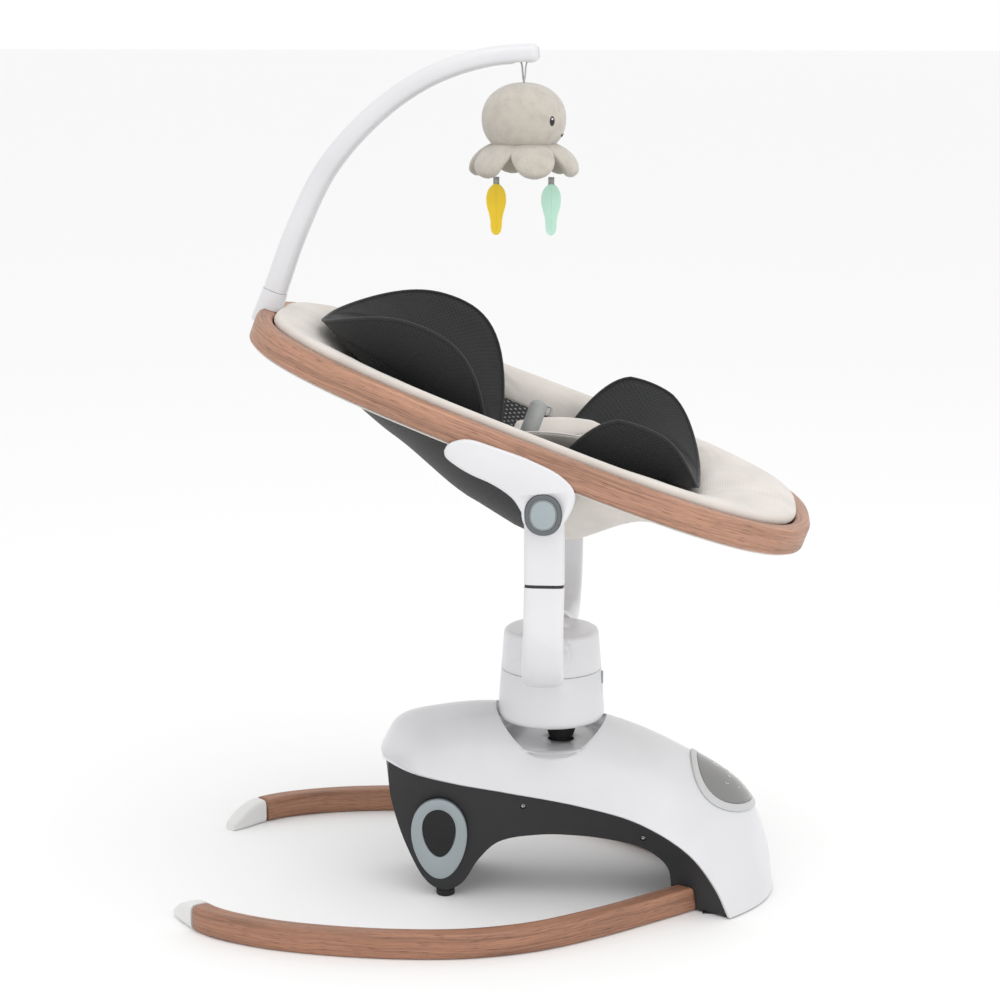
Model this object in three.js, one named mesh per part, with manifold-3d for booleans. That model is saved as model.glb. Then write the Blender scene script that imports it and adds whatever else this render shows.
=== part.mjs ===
// Baby swing. A floor base rocks a forked column from side to side, and the column carries a
// reclining seat with a toy bar. Millimetres, +Z up, -Y towards the feet, +Y towards the head,
// +X is the child's left. The model is drawn about the column's axis at floor level and is
// moved at the end, so that its origin lies at the bottom centre of its bounding box.
import * as THREE from 'three';
import { mergeVertices } from 'three/addons/utils/BufferGeometryUtils.js';
import Module from 'manifold-3d';

const wasm = await Module();
wasm.setup();

// ---- Driving dimensions ----

const gap = 0.4;              // left between pieces that touch
const tuckGap = 1.2;          // left between the cover's wall and the shell's edge inside it
const screwRadius = 3;

// Base housing, measured from the column's axis and from the floor
const baseFront = 270;
const baseRear = 205;
const baseHeight = 225;
const baseHalfWidth = 117;
const baseWall = 3;
const baseLift = 2;           // the housing stands this high on its pads
const rearFootRadius = 11;
const frontPadSize = [34, 16];

// Speaker, panel and power inlet
const speakerHalf = [33, 52];
const speakerLift = 8;        // the grille sits this far above the middle of its frame
const panelT = 0.7;           // place of the panel's middle along the crest, from 0 to 1
const panelHalf = [58, 50];
const panelRing = 8;
const panelLift = 0.8;        // the panel's pieces lie this far off the cover
const bezelThickness = 1.8;
const touchThickness = 1.4;
const boardSize = [64, 56, 2];
const boardDepth = 26;        // below the crest
const inletRadius = 6;

// Sway drive
const swayAxisHeight = 156;
const stemY = -12;            // the stem stands a little in front of the column's axis
const axleRadius = 6;
const bearingSpacing = 70;
const bearingLength = 12;
const magnetHeight = 8;
const magnetGap = 3;
const coilHeight = 7;
const chassisThickness = 4;
const hubRadius = 13;
const hubLength = 30;
const magnetBelowAxis = 42;
const stemRadius = 12;
const stemHoleRadius = 16;
const bootRadius = 18;        // rubber boot round the stem, under the cup
const flangeThickness = 5;

// Column cup
const pocketFloor = 182;
const cupBottom = 208;
const cupSeam = 271;
const cupTop = 320;
const cupRadiusBottom = 65;
const cupRadiusTop = 56.5;
const cupWall = 3;
const swayClearance = 6.5;    // round the cup, on the sides that it sways to
const pocketClearance = 2;    // round the cup, in front and behind
const lockButtonDrop = 12;    // the seat lock button's middle is this far below the seam

// Fork
const armWidth = 45;          // front to back
const armThickness = 20;
const bandHeight = 416;
const bandThickness = 3;
const bossRadius = 27;
const bossLength = 16;

// Recline hinge, which the seat turns on
const hingeY = -5;
const hingeHeight = 502;
const hingeRadius = 24;
const pinRadius = 6;
const pinHeadRadius = 10;
const cheekThickness = 10;
const seatPitch = THREE.MathUtils.degToRad(20.5);
const seatSetback = 50;       // rim centre behind the hinge, along the rim
const seatRise = 67;          // rim top above the hinge, square to the rim

// Seat rim
const rimHalfLength = 346;
const rimHalfWidth = 220;
const rimHeight = 31;
const rimThickness = 20;
const rimPower = 2.9;
const rimFlare = 0.056;       // the foot end is wider than the head end by this share

// Seat fabric
const slingWall = 3;
const linerWall = 8;
const padWall = 9;
const softGap = 1.5;
const slingDepth = 130;
const slingEdge = -24;        // height of the sling's edge against the rim's top
const linerEdge = 8;
const beltWidth = 34;
const beltThickness = 9;
const strapThickness = 3;
const strapWidth = 22;
const strapTop = 12;          // above the rim's top
const padLift = 12;           // the pads lie this far above the liner
const padGap = 27;            // the gap between the pads starts this far from the rim's middle
const backPadEnd = 272;       // the back pad's end towards the head
const legPadEnd = -208;
const backWingHeight = 45;
const legWingHeight = 30;

// Floor legs
const legHalfSpan = 264;      // column axis to the middle of a leg at its widest
const legReach = 430;         // column axis to the tips, along Y
const legHeight = 30;
const legWidth = 25;
const legTipLength = 58;
const legLength = 760;        // along the middle line

// Recline knobs and buttons
const knobWidth = 41;
const knobHeight = 46;
const knobDepth = 6;
const buttonShare = 0.7;
const buttonTravel = 4;
const lockButtonTravel = 3;

// Toy bar and toy
const barSocketHeight = 22;
const barHeight = 391;        // top of the bar's path above the rim
const barReach = 195;         // the bar's tip in front of its foot
const barRootHalf = [16, 14];
const barTipHalf = [13, 11];
const toyHeadRadius = 49;
const toyDrop = 30;           // strap length below its pin
const teetherSpacing = 64;
const toyStrapWidth = 12;
const toyPinRadius = 1.8;
const spigotRadius = 9;
const notchLength = 16;
const notchWidth = 17;
const notchFromTip = 17;      // along the bar
const petalDrop = 38;
const petalTurn = THREE.MathUtils.degToRad(17);
const petalWall = 4;

const white = { color: 0xececf0, roughness: 0.3, metalness: 0 };
const black = { color: 0x26292b, roughness: 0.5, metalness: 0 };
const wood = { color: 0xb07a5c, roughness: 0.6, metalness: 0 };
const greyTrim = { color: 0x9aa3a8, roughness: 0.45, metalness: 0 };
const darkTrim = { color: 0x5f6669, roughness: 0.5, metalness: 0 };
const rubber = { color: 0x1c1d1f, roughness: 0.85, metalness: 0 };
const steel = { color: 0xb8bcc0, roughness: 0.3, metalness: 1 };
const copper = { color: 0xb8693a, roughness: 0.4, metalness: 1 };
const circuitGreen = { color: 0x2f6b45, roughness: 0.6, metalness: 0 };
const cream = { color: 0xe3ddd6, roughness: 0.95, metalness: 0 };
const meshBlack = { color: 0x1c1d1f, roughness: 0.95, metalness: 0 };
const strapGrey = { color: 0x8d8f8f, roughness: 0.9, metalness: 0 };
const plush = { color: 0xb9b1a6, roughness: 1, metalness: 0 };
const yellow = { color: 0xf2cf1d, roughness: 0.5, metalness: 0 };
const mint = { color: 0xc3ecd9, roughness: 0.5, metalness: 0 };

// ---- Shape tools ----

const roundSides = 30;        // facets round the column's cup and its pocket
const vec = (x, y, z) => new THREE.Vector3(x, y, z);
const mix = THREE.MathUtils.lerp;

// The geometry with only shared positions, without flattened triangles, faces outward.
function closed(geometry) {
  const bare = new THREE.BufferGeometry();
  bare.setAttribute('position', geometry.getAttribute('position'));
  bare.setIndex(geometry.getIndex());
  const merged = mergeVertices(bare, 1e-4);
  const corners = merged.getIndex().array;
  const kept = [];
  for (let i = 0; i < corners.length; i += 3) {
    const [a, b, c] = corners.slice(i, i + 3);
    if (a !== b && b !== c && c !== a) {
      kept.push(a, b, c);
    }
  }
  merged.setIndex(kept);
  if (signedVolume(merged) < 0) {
    merged.setIndex(kept.reverse());
  }
  return merged;
}

function signedVolume(geometry) {
  const corners = geometry.getIndex().array;
  const [a, b, c] = [vec(0, 0, 0), vec(0, 0, 0), vec(0, 0, 0)];
  let volume = 0;
  for (let i = 0; i < corners.length; i += 3) {
    a.fromBufferAttribute(geometry.attributes.position, corners[i]);
    b.fromBufferAttribute(geometry.attributes.position, corners[i + 1]);
    c.fromBufferAttribute(geometry.attributes.position, corners[i + 2]);
    volume += a.dot(b.cross(c)) / 6;
  }
  return volume;
}

function toSolid(geometry) {
  const shape = closed(geometry);
  return new wasm.Manifold(new wasm.Mesh({
    numProp: 3,
    vertProperties: new Float32Array(shape.attributes.position.array),
    triVerts: new Uint32Array(shape.getIndex().array),
  }));
}

function toGeometry(solid) {
  const mesh = solid.getMesh();
  const geometry = new THREE.BufferGeometry();
  geometry.setAttribute('position', new THREE.BufferAttribute(mesh.vertProperties, 3));
  geometry.setIndex(new THREE.BufferAttribute(mesh.triVerts, 1));
  return geometry;
}

const combine = (how, first, rest) =>
  toGeometry(rest.reduce((solid, next) => solid[how](toSolid(next)), toSolid(first)));
const join = (first, ...rest) => combine('add', first, rest);
const cut = (first, ...rest) => combine('subtract', first, rest);
const overlap = (first, ...rest) => combine('intersect', first, rest);

// An open surface through rows of points, all rows of one length.
function surface(rows) {
  const width = rows[0].length;
  const index = [];
  for (let row = 0; row < rows.length - 1; row++) {
    for (let column = 0; column < width - 1; column++) {
      const corner = row * width + column;
      index.push(corner, corner + 1, corner + width);
      index.push(corner + 1, corner + width + 1, corner + width);
    }
  }
  return new THREE.BufferGeometry().setFromPoints(rows.flat()).setIndex(index);
}

// An open surface moved along its normals.
function moved(open, distance) {
  const flat = mergeVertices(open, 1e-4);
  flat.computeVertexNormals();
  const { position, normal } = flat.attributes;
  for (let i = 0; i < position.count; i++) {
    position.setXYZ(
      i,
      position.getX(i) + normal.getX(i) * distance,
      position.getY(i) + normal.getY(i) * distance,
      position.getZ(i) + normal.getZ(i) * distance,
    );
  }
  flat.deleteAttribute('normal');
  return flat;
}

// A wall of even thickness behind an open surface, closed round every free edge.
function thicken(open, wall) {
  const front = moved(open, 0);
  const back = moved(open, -wall);
  const count = front.attributes.position.count;
  const corners = front.getIndex().array;
  const index = [...corners];
  const free = new Map();
  for (let i = 0; i < corners.length; i += 3) {
    const [a, b, c] = corners.slice(i, i + 3);
    if (a === b || b === c || c === a) {
      continue;
    }
    index.push(a + count, c + count, b + count);
    for (const [from, to] of [[a, b], [b, c], [c, a]]) {
      if (!free.delete(`${to} ${from}`)) {
        free.set(`${from} ${to}`, [from, to]);
      }
    }
  }
  for (const [from, to] of free.values()) {
    index.push(to, from, from + count, to, from + count, to + count);
  }
  const points = new Float32Array([...front.attributes.position.array, ...back.attributes.position.array]);
  const shell = new THREE.BufferGeometry();
  shell.setAttribute('position', new THREE.BufferAttribute(points, 3));
  return shell.setIndex(index);
}

// A solid through closed sections. Its ends are capped, or joined to each other in a ring.
function loft(sections, ring = false) {
  const size = sections[0].length;
  const points = sections.flat();
  const index = [];
  const last = ring ? sections.length : sections.length - 1;
  for (let s = 0; s < last; s++) {
    const next = (s + 1) % sections.length;
    for (let i = 0; i < size; i++) {
      const j = (i + 1) % size;
      index.push(s * size + i, s * size + j, next * size + i);
      index.push(s * size + j, next * size + j, next * size + i);
    }
  }
  if (!ring) {
    for (const s of [0, sections.length - 1]) {
      const middle = sections[s].reduce((sum, p) => sum.add(p), vec(0, 0, 0)).divideScalar(size);
      points.push(middle);
      for (let i = 0; i < size; i++) {
        const pair = [s * size + i, s * size + ((i + 1) % size)];
        const [from, to] = s === 0 ? pair.reverse() : pair;
        index.push(from, to, points.length - 1);
      }
    }
  }
  return new THREE.BufferGeometry().setFromPoints(points).setIndex(index);
}

// Points round an oval; a power over 2 squares it off.
function oval(halfWidth, halfHeight, power = 2, count = 12) {
  const reach = (value) => Math.sign(value) * Math.abs(value) ** (2 / power);
  return Array.from({ length: count }, (_, i) => {
    const angle = ((i + 0.5) / count) * 2 * Math.PI;
    return [halfWidth * reach(Math.cos(angle)), halfHeight * reach(Math.sin(angle))];
  });
}

// A solid swept along a curve that lies in one plane. side is square to that plane, and sizeAt
// gives the half sizes along side and across it.
function sweep(curve, steps, side, sizeAt, power = 4, count = 12) {
  const sections = Array.from({ length: steps + 1 }, (_, i) => {
    const centre = curve.getPointAt(i / steps);
    const across = curve.getTangentAt(i / steps).cross(side).normalize();
    const [along, thick] = sizeAt(i / steps);
    return oval(along, thick, power, count).map(([p, q]) =>
      centre.clone().addScaledVector(side, p).addScaledVector(across, q));
  });
  return loft(sections);
}

const curveThrough = (points) => new THREE.CatmullRomCurve3(points);

// A solid turned about the Z axis from [radius, height] pairs.
function turned(profile, segments = 32) {
  const points = profile.map(([radius, height]) => new THREE.Vector2(radius, height));
  return new THREE.LatheGeometry(points, segments).rotateX(Math.PI / 2);
}

function block(size, centre) {
  return new THREE.BoxGeometry(...size).translate(...centre);
}

function rod(from, to, radius, sides = 16) {
  const along = to.clone().sub(from);
  const spin = new THREE.Quaternion().setFromUnitVectors(vec(0, 1, 0), along.clone().normalize());
  const middle = from.clone().add(to).divideScalar(2);
  return new THREE.CylinderGeometry(radius, radius, along.length(), sides)
    .applyQuaternion(spin).translate(...middle);
}

// A flat outline of [x, y] pairs given thickness along Z, from 0 up.
function plate(outline, thickness, hole = null) {
  const shape = new THREE.Shape(outline.map(([x, y]) => new THREE.Vector2(x, y)));
  if (hole) {
    shape.holes.push(new THREE.Path(hole.map(([x, y]) => new THREE.Vector2(x, y))));
  }
  return new THREE.ExtrudeGeometry(shape, { depth: thickness, bevelEnabled: false });
}

// Turns a shape drawn with Z outward so that Z points to the given side of the object and Y up.
const faceSide = (geometry, side) =>
  geometry.rotateZ((side * Math.PI) / 2).rotateY((side * Math.PI) / 2);

function part(parent, name, geometry, look) {
  const mesh = new THREE.Mesh(closed(geometry), new THREE.MeshStandardMaterial(look));
  mesh.name = name;
  parent.add(mesh);
}

const sides = { right: -1, left: 1 };

// ---- Base housing ----

// Outlines of the housing from its back edge to its nose. Heights are shares of baseHeight,
// widths of baseHalfWidth, and lengths of baseRear behind the axis and baseFront before it.
const crest = [
  [0, 1, 0.77], [0, 0.91, 0.9], [0, 0.63, 0.975], [0, 0.3, 1], [0, -0.24, 0.94],
  [0, -0.62, 0.75], [0, -0.87, 0.54], [0, -0.97, 0.27], [0, -1, 0],
];
const edge = [
  [0.7, 0.94, 0.79], [0.77, 0.78, 0.72], [0.81, 0.54, 0.67], [0.83, 0.24, 0.63], [0.84, -0.15, 0.565],
  [0.85, -0.41, 0.48], [0.88, -0.63, 0.32], [0.95, -0.75, 0.145], [1, -0.81, 0],
];
const sill = [
  [0.7, 0.94, 0.79], [0.67, 0.91, 0.555], [0.63, 0.82, 0.275], [0.61, 0.7, 0.07], [0.61, 0.6, 0.027],
  [0.62, 0.5, 0.07], [0.64, 0.4, 0.21], [0.68, 0.28, 0.32], [0.72, 0.05, 0.373], [0.74, -0.15, 0.378],
  [0.74, -0.31, 0.355], [0.73, -0.44, 0.31], [0.72, -0.535, 0.21], [0.71, -0.555, 0.06],
  [0.72, -0.575, 0], [0.85, -0.685, 0], [1, -0.81, 0],
];

function housingCurve(shares) {
  return curveThrough(shares.map(([across, along, up]) => vec(
    across * baseHalfWidth,
    along * (along > 0 ? baseRear : baseFront),
    baseLift + up * (baseHeight - baseLift),
  )));
}
const crestCurve = housingCurve(crest);
const edgeCurve = housingCurve(edge);
const sillCurve = housingCurve(sill);

// One row across the cover, from the right edge over the crest to the left edge.
const coverRows = 18;
const coverColumns = 10;

function coverRow(t) {
  const top = crestCurve.getPoint(t);
  const foot = edgeCurve.getPoint(t);
  return Array.from({ length: coverColumns + 1 }, (_, i) => {
    const across = (2 * i) / coverColumns - 1;
    const rise = 1 - across * across;
    return vec(foot.x * across, mix(foot.y, top.y, rise), mix(foot.z, top.z, rise));
  });
}

// The cover's surface between two of its rows.
function coverSurface(from, to) {
  const rows = Array.from({ length: to - from + 1 }, (_, i) => coverRow((from + i) / coverRows));
  return surface(rows.map((row) => row.reverse()));
}

// One row round the lower shell, from the left edge down, across the underside and up again.
// The shell's edge tucks inside the cover's edge, and grow moves its sides outward.
const shellTuck = baseWall + tuckGap;
const shellRowCount = 28;

function shellRow(t, grow) {
  const top = edgeCurve.getPoint(t);
  const foot = sillCurve.getPoint(t);
  const end = 2 * t - 1;
  const drop = end < 0 ? 2 + 6 * end ** 4 : 2;
  const nose = end ** 10 * (crestCurve.getPoint(t).y - top.y);
  const shares = [-1, -0.75, -0.5, -0.42, -0.2, 0, 0.2, 0.42, 0.5, 0.75, 1];
  return shares.map((share) => {
    const climb = Math.max(0, Math.abs(share) - 0.5) * 2;
    const across = Math.min(1, Math.abs(share) * 2);
    const half = mix(foot.x * across, top.x, climb);
    const bow = 1 - (half / top.x) ** 2;
    return vec(
      Math.sign(share) * (half + (grow - shellTuck) * across),
      mix(foot.y, top.y, climb) + nose * bow + shellTuck * end ** 9,
      Math.max(baseLift, mix(foot.z - drop * end ** 10, top.z - drop, climb)),
    );
  });
}

function shellRows(count, grow = 0, trim = 0) {
  return Array.from({ length: count + 1 }, (_, i) => shellRow(mix(trim, 1 - trim, i / count), grow));
}

// The pocket round the cup, an upright oval that is wider across than along, from a height up.
function pocket(bottom, grow) {
  const half = [cupRadiusBottom + swayClearance + grow, cupRadiusBottom + pocketClearance + grow];
  return plate(oval(...half, 2, roundSides), baseHeight).translate(0, 0, bottom);
}

function baseCover() {
  const skin = thicken(coverSurface(0, coverRows), baseWall);
  const rows = Array.from({ length: coverRows - 1 }, (_, i) => coverRow((i + 1) / coverRows));
  const filled = loft(rows);
  const above = baseHeight + 50;
  const well = pocket(pocketFloor, 0);
  const cup = pocket(pocketFloor - baseWall, baseWall);
  const stemHole = rod(vec(0, stemY, 0), vec(0, stemY, above), stemHoleRadius, 24);
  const dish = cut(overlap(cup, filled), well);
  return cut(join(cut(skin, well), dish), stemHole);
}

// Egg outline, wider at its top, of half sizes a across and b up.
function egg(a, b, count = 28) {
  return Array.from({ length: count }, (_, i) => {
    const angle = (i / count) * 2 * Math.PI;
    const up = Math.sin(angle);
    return [a * Math.cos(angle) * (1 + 0.16 * up), b * up];
  });
}

// The speaker sits low on the right side of the rear leg, leaning with the wall.
const speakerLean = Math.atan(0.14);
const speakerY = 0.62 * baseRear;
const speakerZ = 0.35 * baseHeight;

function onSpeakerWall(geometry) {
  const top = edgeCurve.getPoint(0.22);
  const foot = sillCurve.getPoint(0.24);
  const share = (speakerZ - foot.z) / (top.z - foot.z);
  const wallX = mix(foot.x, top.x, share);
  return faceSide(geometry, -1).rotateY(-speakerLean).translate(-wallX, speakerY, speakerZ);
}

function baseShell() {
  const shell = thicken(surface(shellRows(shellRowCount)), baseWall);
  const hole = egg(speakerHalf[0] - 4, speakerHalf[1] - 4);
  const speakerHole = onSpeakerWall(plate(hole, 24).translate(0, 0, -12));
  const bolts = Object.values(sides).map((side) => legBolt(side, gap));
  return cut(shell, speakerHole, inletBarrel(inletRadius + gap), ...bolts);
}

// Outline of the grille, or of the opening round it when it is made larger.
function grilleOutline(grow) {
  const [across, up] = speakerHalf.map((half) => half * 0.6 + grow);
  return egg(across, up).map(([x, y]) => [x, y + speakerLift]);
}

function speakerRing() {
  return onSpeakerWall(plate(egg(...speakerHalf), 3, grilleOutline(0)).translate(0, 0, 3));
}

function speakerGrille() {
  return onSpeakerWall(plate(grilleOutline(-gap), 2).translate(0, 0, 3.2));
}

function speakerDriver() {
  const cone = turned([[0, 0], [8, 0], [18, 12], [22, 12], [22, 15], [16, 15], [6, 3], [0, 3]], 24);
  const magnet = turned([[0, -10], [13, -10], [13, 0.2], [0, 0.2]], 24);
  return onSpeakerWall(join(cone, magnet).translate(0, speakerLift, -14));
}

// ---- Panel on the nose ----

function panelCutter(outline, hole = null) {
  const middle = crestCurve.getPoint(panelT);
  const slope = crestCurve.getTangent(panelT);
  return plate(outline, 60, hole).translate(0, 0, -30)
    .rotateX(Math.atan2(-slope.z, -slope.y)).translate(...middle);
}

function panelSkin(thickness) {
  return thicken(moved(coverSurface(8, 17), panelLift + thickness), thickness);
}

function panelBezel() {
  const outer = oval(...panelHalf, 2, 28);
  const inner = oval(panelHalf[0] - panelRing, panelHalf[1] - panelRing, 2, 28);
  return overlap(panelSkin(bezelThickness), panelCutter(outer, inner));
}

function touchPanel() {
  const inset = panelRing + gap;
  const outline = oval(panelHalf[0] - inset, panelHalf[1] - inset, 2, 28);
  return overlap(panelSkin(touchThickness), panelCutter(outline));
}

function controlBoard() {
  const middle = crestCurve.getPoint(panelT);
  const slope = crestCurve.getTangent(panelT);
  return new THREE.BoxGeometry(...boardSize).translate(0, 0, -boardDepth)
    .rotateX(Math.atan2(-slope.z, -slope.y)).translate(...middle);
}

// ---- Power inlet, feet and pads ----

const inletZ = 0.42 * baseHeight;

function inletBarrel(radius) {
  return rod(vec(0, baseRear + 10, inletZ), vec(0, 0.75 * baseRear, inletZ), radius, 20);
}

function dcInlet() {
  const back = 0.885 * baseRear;
  const body = rod(vec(0, back, inletZ), vec(0, 0.79 * baseRear, inletZ), inletRadius, 20);
  const bore = rod(vec(0, back + 1, inletZ), vec(0, 0.84 * baseRear, inletZ), inletRadius / 2, 16);
  return cut(body, bore);
}

function rearFoot(side) {
  const foot = sillCurve.getPoint(4 / 16);
  const [x, height] = [side * (foot.x - 14), foot.z - gap];
  return rod(vec(x, foot.y, 0), vec(x, foot.y, height), rearFootRadius, 20);
}

function frontPad(side) {
  const height = baseLift - gap;
  return block([...frontPadSize, height], [side * 0.7 * baseHalfWidth, -0.72 * baseFront, height / 2]);
}

// ---- Sway drive ----

const magnetFloor = swayAxisHeight - magnetBelowAxis;
const chassisTop = magnetFloor - magnetGap - coilHeight - gap;

function chassisPlate() {
  return block([120, bearingSpacing + 50, chassisThickness], [0, stemY, chassisTop - chassisThickness / 2]);
}

function bearing(direction) {
  const y = stemY + (direction * bearingSpacing) / 2;
  const bottom = chassisTop + gap;
  const top = pocketFloor - baseWall - 1;
  const stand = block([34, bearingLength, top - bottom], [0, y, (top + bottom) / 2]);
  const half = bearingLength / 2 + 1;
  return cut(stand, axleBore(y - half, y + half));
}

// What the axle passes through, with its clearance.
function axleBore(from, to) {
  return rod(vec(0, from, swayAxisHeight), vec(0, to, swayAxisHeight), axleRadius + gap, 24);
}

function driveCoil() {
  const profile = [[7, 0], [24, 0], [24, coilHeight], [7, coilHeight], [7, 0]];
  return turned(profile, 28).translate(0, stemY, chassisTop + gap);
}

function driveMagnet() {
  return block([30, 22, magnetHeight], [0, stemY, magnetFloor + magnetHeight / 2]);
}

function swingAxle() {
  const half = bearingSpacing / 2 + bearingLength / 2 + 3;
  return rod(vec(0, stemY - half, swayAxisHeight), vec(0, stemY + half, swayAxisHeight), axleRadius, 20);
}

function swingStem() {
  const half = hubLength / 2;
  const hub = rod(vec(0, stemY - half, swayAxisHeight), vec(0, stemY + half, swayAxisHeight), hubRadius, 24);
  const leverHeight = 32;
  const leverZ = magnetFloor + magnetHeight + gap + leverHeight / 2;
  const lever = block([14, hubLength - 6, leverHeight], [0, stemY, leverZ]);
  const underCup = cupBottom - gap;
  const inCup = cupBottom + cupWall + gap;
  const flange = 2.2 * stemRadius;
  const column = turned([
    [0, swayAxisHeight], [stemRadius, swayAxisHeight], [stemRadius, pocketFloor + 4],
    [bootRadius - 3, pocketFloor + 4.5], [bootRadius, pocketFloor + 14], [bootRadius, underCup],
    [stemRadius, underCup], [stemRadius, inCup], [flange, inCup], [flange, inCup + flangeThickness],
    [0, inCup + flangeThickness],
  ], 18).translate(0, stemY, 0);
  return cut(join(hub, lever, column), axleBore(stemY - half - 1, stemY + half + 1));
}

// A torsion spring round the axle, behind the hub.
function centringSpring() {
  const coilRadius = axleRadius + 4;
  const wire = 1.4;
  const turns = 3;
  const start = stemY + hubLength / 2 + gap + wire;
  const end = stemY + bearingSpacing / 2 - bearingLength / 2 - gap - wire;
  const steps = turns * 10;
  return loft(Array.from({ length: steps + 1 }, (_, i) => {
    const angle = (i / steps) * turns * 2 * Math.PI;
    const out = vec(Math.cos(angle), 0, Math.sin(angle));
    const centre = vec(0, mix(start, end, i / steps), swayAxisHeight).addScaledVector(out, coilRadius);
    return oval(wire, wire, 2, 5).map(([p, q]) => centre.clone().addScaledVector(out, p).add(vec(0, q, 0)));
  }));
}

// ---- Column cup ----

const cupRadiusAt = (height) =>
  mix(cupRadiusBottom, cupRadiusTop, (height - cupBottom) / (cupTop - cupBottom));

function lowerCup() {
  const round = 10;
  const rim = cupSeam - gap / 2;
  const shoulder = cupBottom + round;
  const cup = turned([
    [0, cupBottom], [cupRadiusBottom - round, cupBottom],
    [cupRadiusBottom - 0.3 * round, cupBottom + 0.3 * round], [cupRadiusAt(shoulder), shoulder],
    [cupRadiusAt(rim), rim], [cupRadiusAt(rim) - cupWall, rim], [cupRadiusAt(rim) - cupWall, shoulder],
    [cupRadiusBottom - round, cupBottom + cupWall], [0, cupBottom + cupWall],
  ], roundSides);
  const bottom = vec(0, stemY, cupBottom - 1);
  const hole = rod(bottom, vec(0, stemY, cupBottom + cupWall + 1), stemRadius + gap, 24);
  return cut(cup, hole, lockButton(gap, 2 * gap + lockButtonTravel));
}

function turntableRing() {
  const [low, high] = [cupSeam - 3, cupSeam + 6];
  const outer = cupRadiusAt(high) - cupWall - 2 * gap;
  const inner = outer - 7;
  return turned([[inner, low], [outer, low], [outer, high], [inner, high], [inner, low]], roundSides);
}

function upperCup() {
  const low = cupSeam + gap / 2;
  const round = 8;
  const shoulder = cupTop - round;
  return turned([
    [cupRadiusAt(low), low], [cupRadiusAt(shoulder), shoulder],
    [cupRadiusTop - 0.3 * round, cupTop - 0.3 * round], [cupRadiusTop - round, cupTop], [0, cupTop],
    [0, cupTop - cupWall], [cupRadiusTop - round, cupTop - cupWall],
    [cupRadiusAt(shoulder) - cupWall, shoulder], [cupRadiusAt(low) - cupWall, low],
    [cupRadiusAt(low), low],
  ], roundSides);
}

const lockButtonZ = cupSeam - lockButtonDrop;

function lockButton(grow = 0, deeper = 0) {
  const face = cupRadiusAt(lockButtonZ) + 1.5;
  const depth = 11 + deeper;
  return plate(oval(6 + grow, 8 + grow, 2.4, 20), depth)
    .rotateX(Math.PI / 2).translate(0, -face + depth, lockButtonZ);
}

// ---- Fork ----

const armX = rimHalfWidth - rimThickness;
const bossHeight = (cupSeam + cupTop) / 2 + 4;
const cheekOuter = armX - 2;
const cheekInner = cheekOuter - cheekThickness;

// The arm leaves the cup level and turns up in a tight bend.
function lowerArm(side) {
  const start = cupRadiusAt(bossHeight);
  const span = armX - start;
  const rise = bandHeight - bossHeight;
  const path = curveThrough([
    vec(side * (start - 6), 0, bossHeight),
    vec(side * (start + 0.4 * span), 0, bossHeight),
    vec(side * (start + 0.8 * span), hingeY * 0.3, bossHeight + 0.07 * rise),
    vec(side * (start + 0.98 * span), hingeY * 0.7, bossHeight + 0.42 * rise),
    vec(side * armX, hingeY, bandHeight),
  ]);
  const arm = sweep(path, 16, vec(0, 1, 0), () => [armWidth / 2, armThickness / 2], 5, 12);
  const at = (x) => vec(side * x, 0, bossHeight);
  const boss = rod(at(start - 12), at(start + bossLength), bossRadius, 24);
  const [low, high] = [cupSeam - 20, cupTop + 20];
  const cupSolid = turned([
    [0, low], [cupRadiusAt(low) + gap, low], [cupRadiusAt(high) + gap, high], [0, high],
  ], roundSides);
  const above = block([400, 200, 100], [side * armX, 0, bandHeight + 50]);
  return cut(join(arm, boss), cupSolid, above);
}

function armBand(side) {
  const path = new THREE.LineCurve3(
    vec(side * armX, hingeY, bandHeight + gap),
    vec(side * armX, hingeY, bandHeight + bandThickness),
  );
  return sweep(path, 1, vec(0, 1, 0), () => [armWidth / 2 - 0.6, armThickness / 2 - 0.6], 5, 12);
}

function upperArm(side) {
  const low = bandHeight + bandThickness + gap;
  const path = new THREE.LineCurve3(vec(side * armX, hingeY, low), vec(side * armX, hingeY, hingeHeight));
  const post = sweep(path, 4, vec(0, 1, 0), () => [armWidth / 2, armThickness / 2], 5, 12);
  const disc = (inner, outer, radius) =>
    rod(vec(side * inner, hingeY, hingeHeight), vec(side * outer, hingeY, hingeHeight), radius, 28);
  const cheek = disc(cheekInner, cheekOuter, armWidth / 2);
  const web = block([cheekOuter - cheekInner, armWidth - 6, hingeHeight - low - 8], [
    side * ((cheekInner + cheekOuter) / 2), hingeY, (hingeHeight + low + 8) / 2,
  ]);
  const seatSide = disc(cheekOuter, armX + armThickness, hingeRadius + 2 * gap);
  return cut(join(post, cheek, web), seatSide, disc(0, armX + 40, pinRadius + gap));
}

function hingePin(side) {
  const at = (x) => vec(side * x, hingeY, hingeHeight);
  const shank = rod(at(cheekInner - gap - 1), at(bracketOuter - buttonTravel - 14), pinRadius, 20);
  const head = rod(at(cheekInner - gap - 3), at(cheekInner - gap), pinHeadRadius, 20);
  return join(shank, head);
}

// ---- Seat frame ----
// Everything from here to the toy bar is drawn about the rim's centre, with its top at Z = 0.

const bracketInner = cheekOuter + gap;
const bracketOuter = rimHalfWidth - 1;
const hingeInSeat = [-seatSetback, -seatRise];

// Half width of the rim's outside at a place along the seat.
function rimHalfAt(y) {
  const share = Math.min(1, Math.abs(y) / rimHalfLength);
  return rimHalfWidth * (1 - share ** rimPower) ** (1 / rimPower) * (1 - (rimFlare * y) / rimHalfLength);
}

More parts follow.
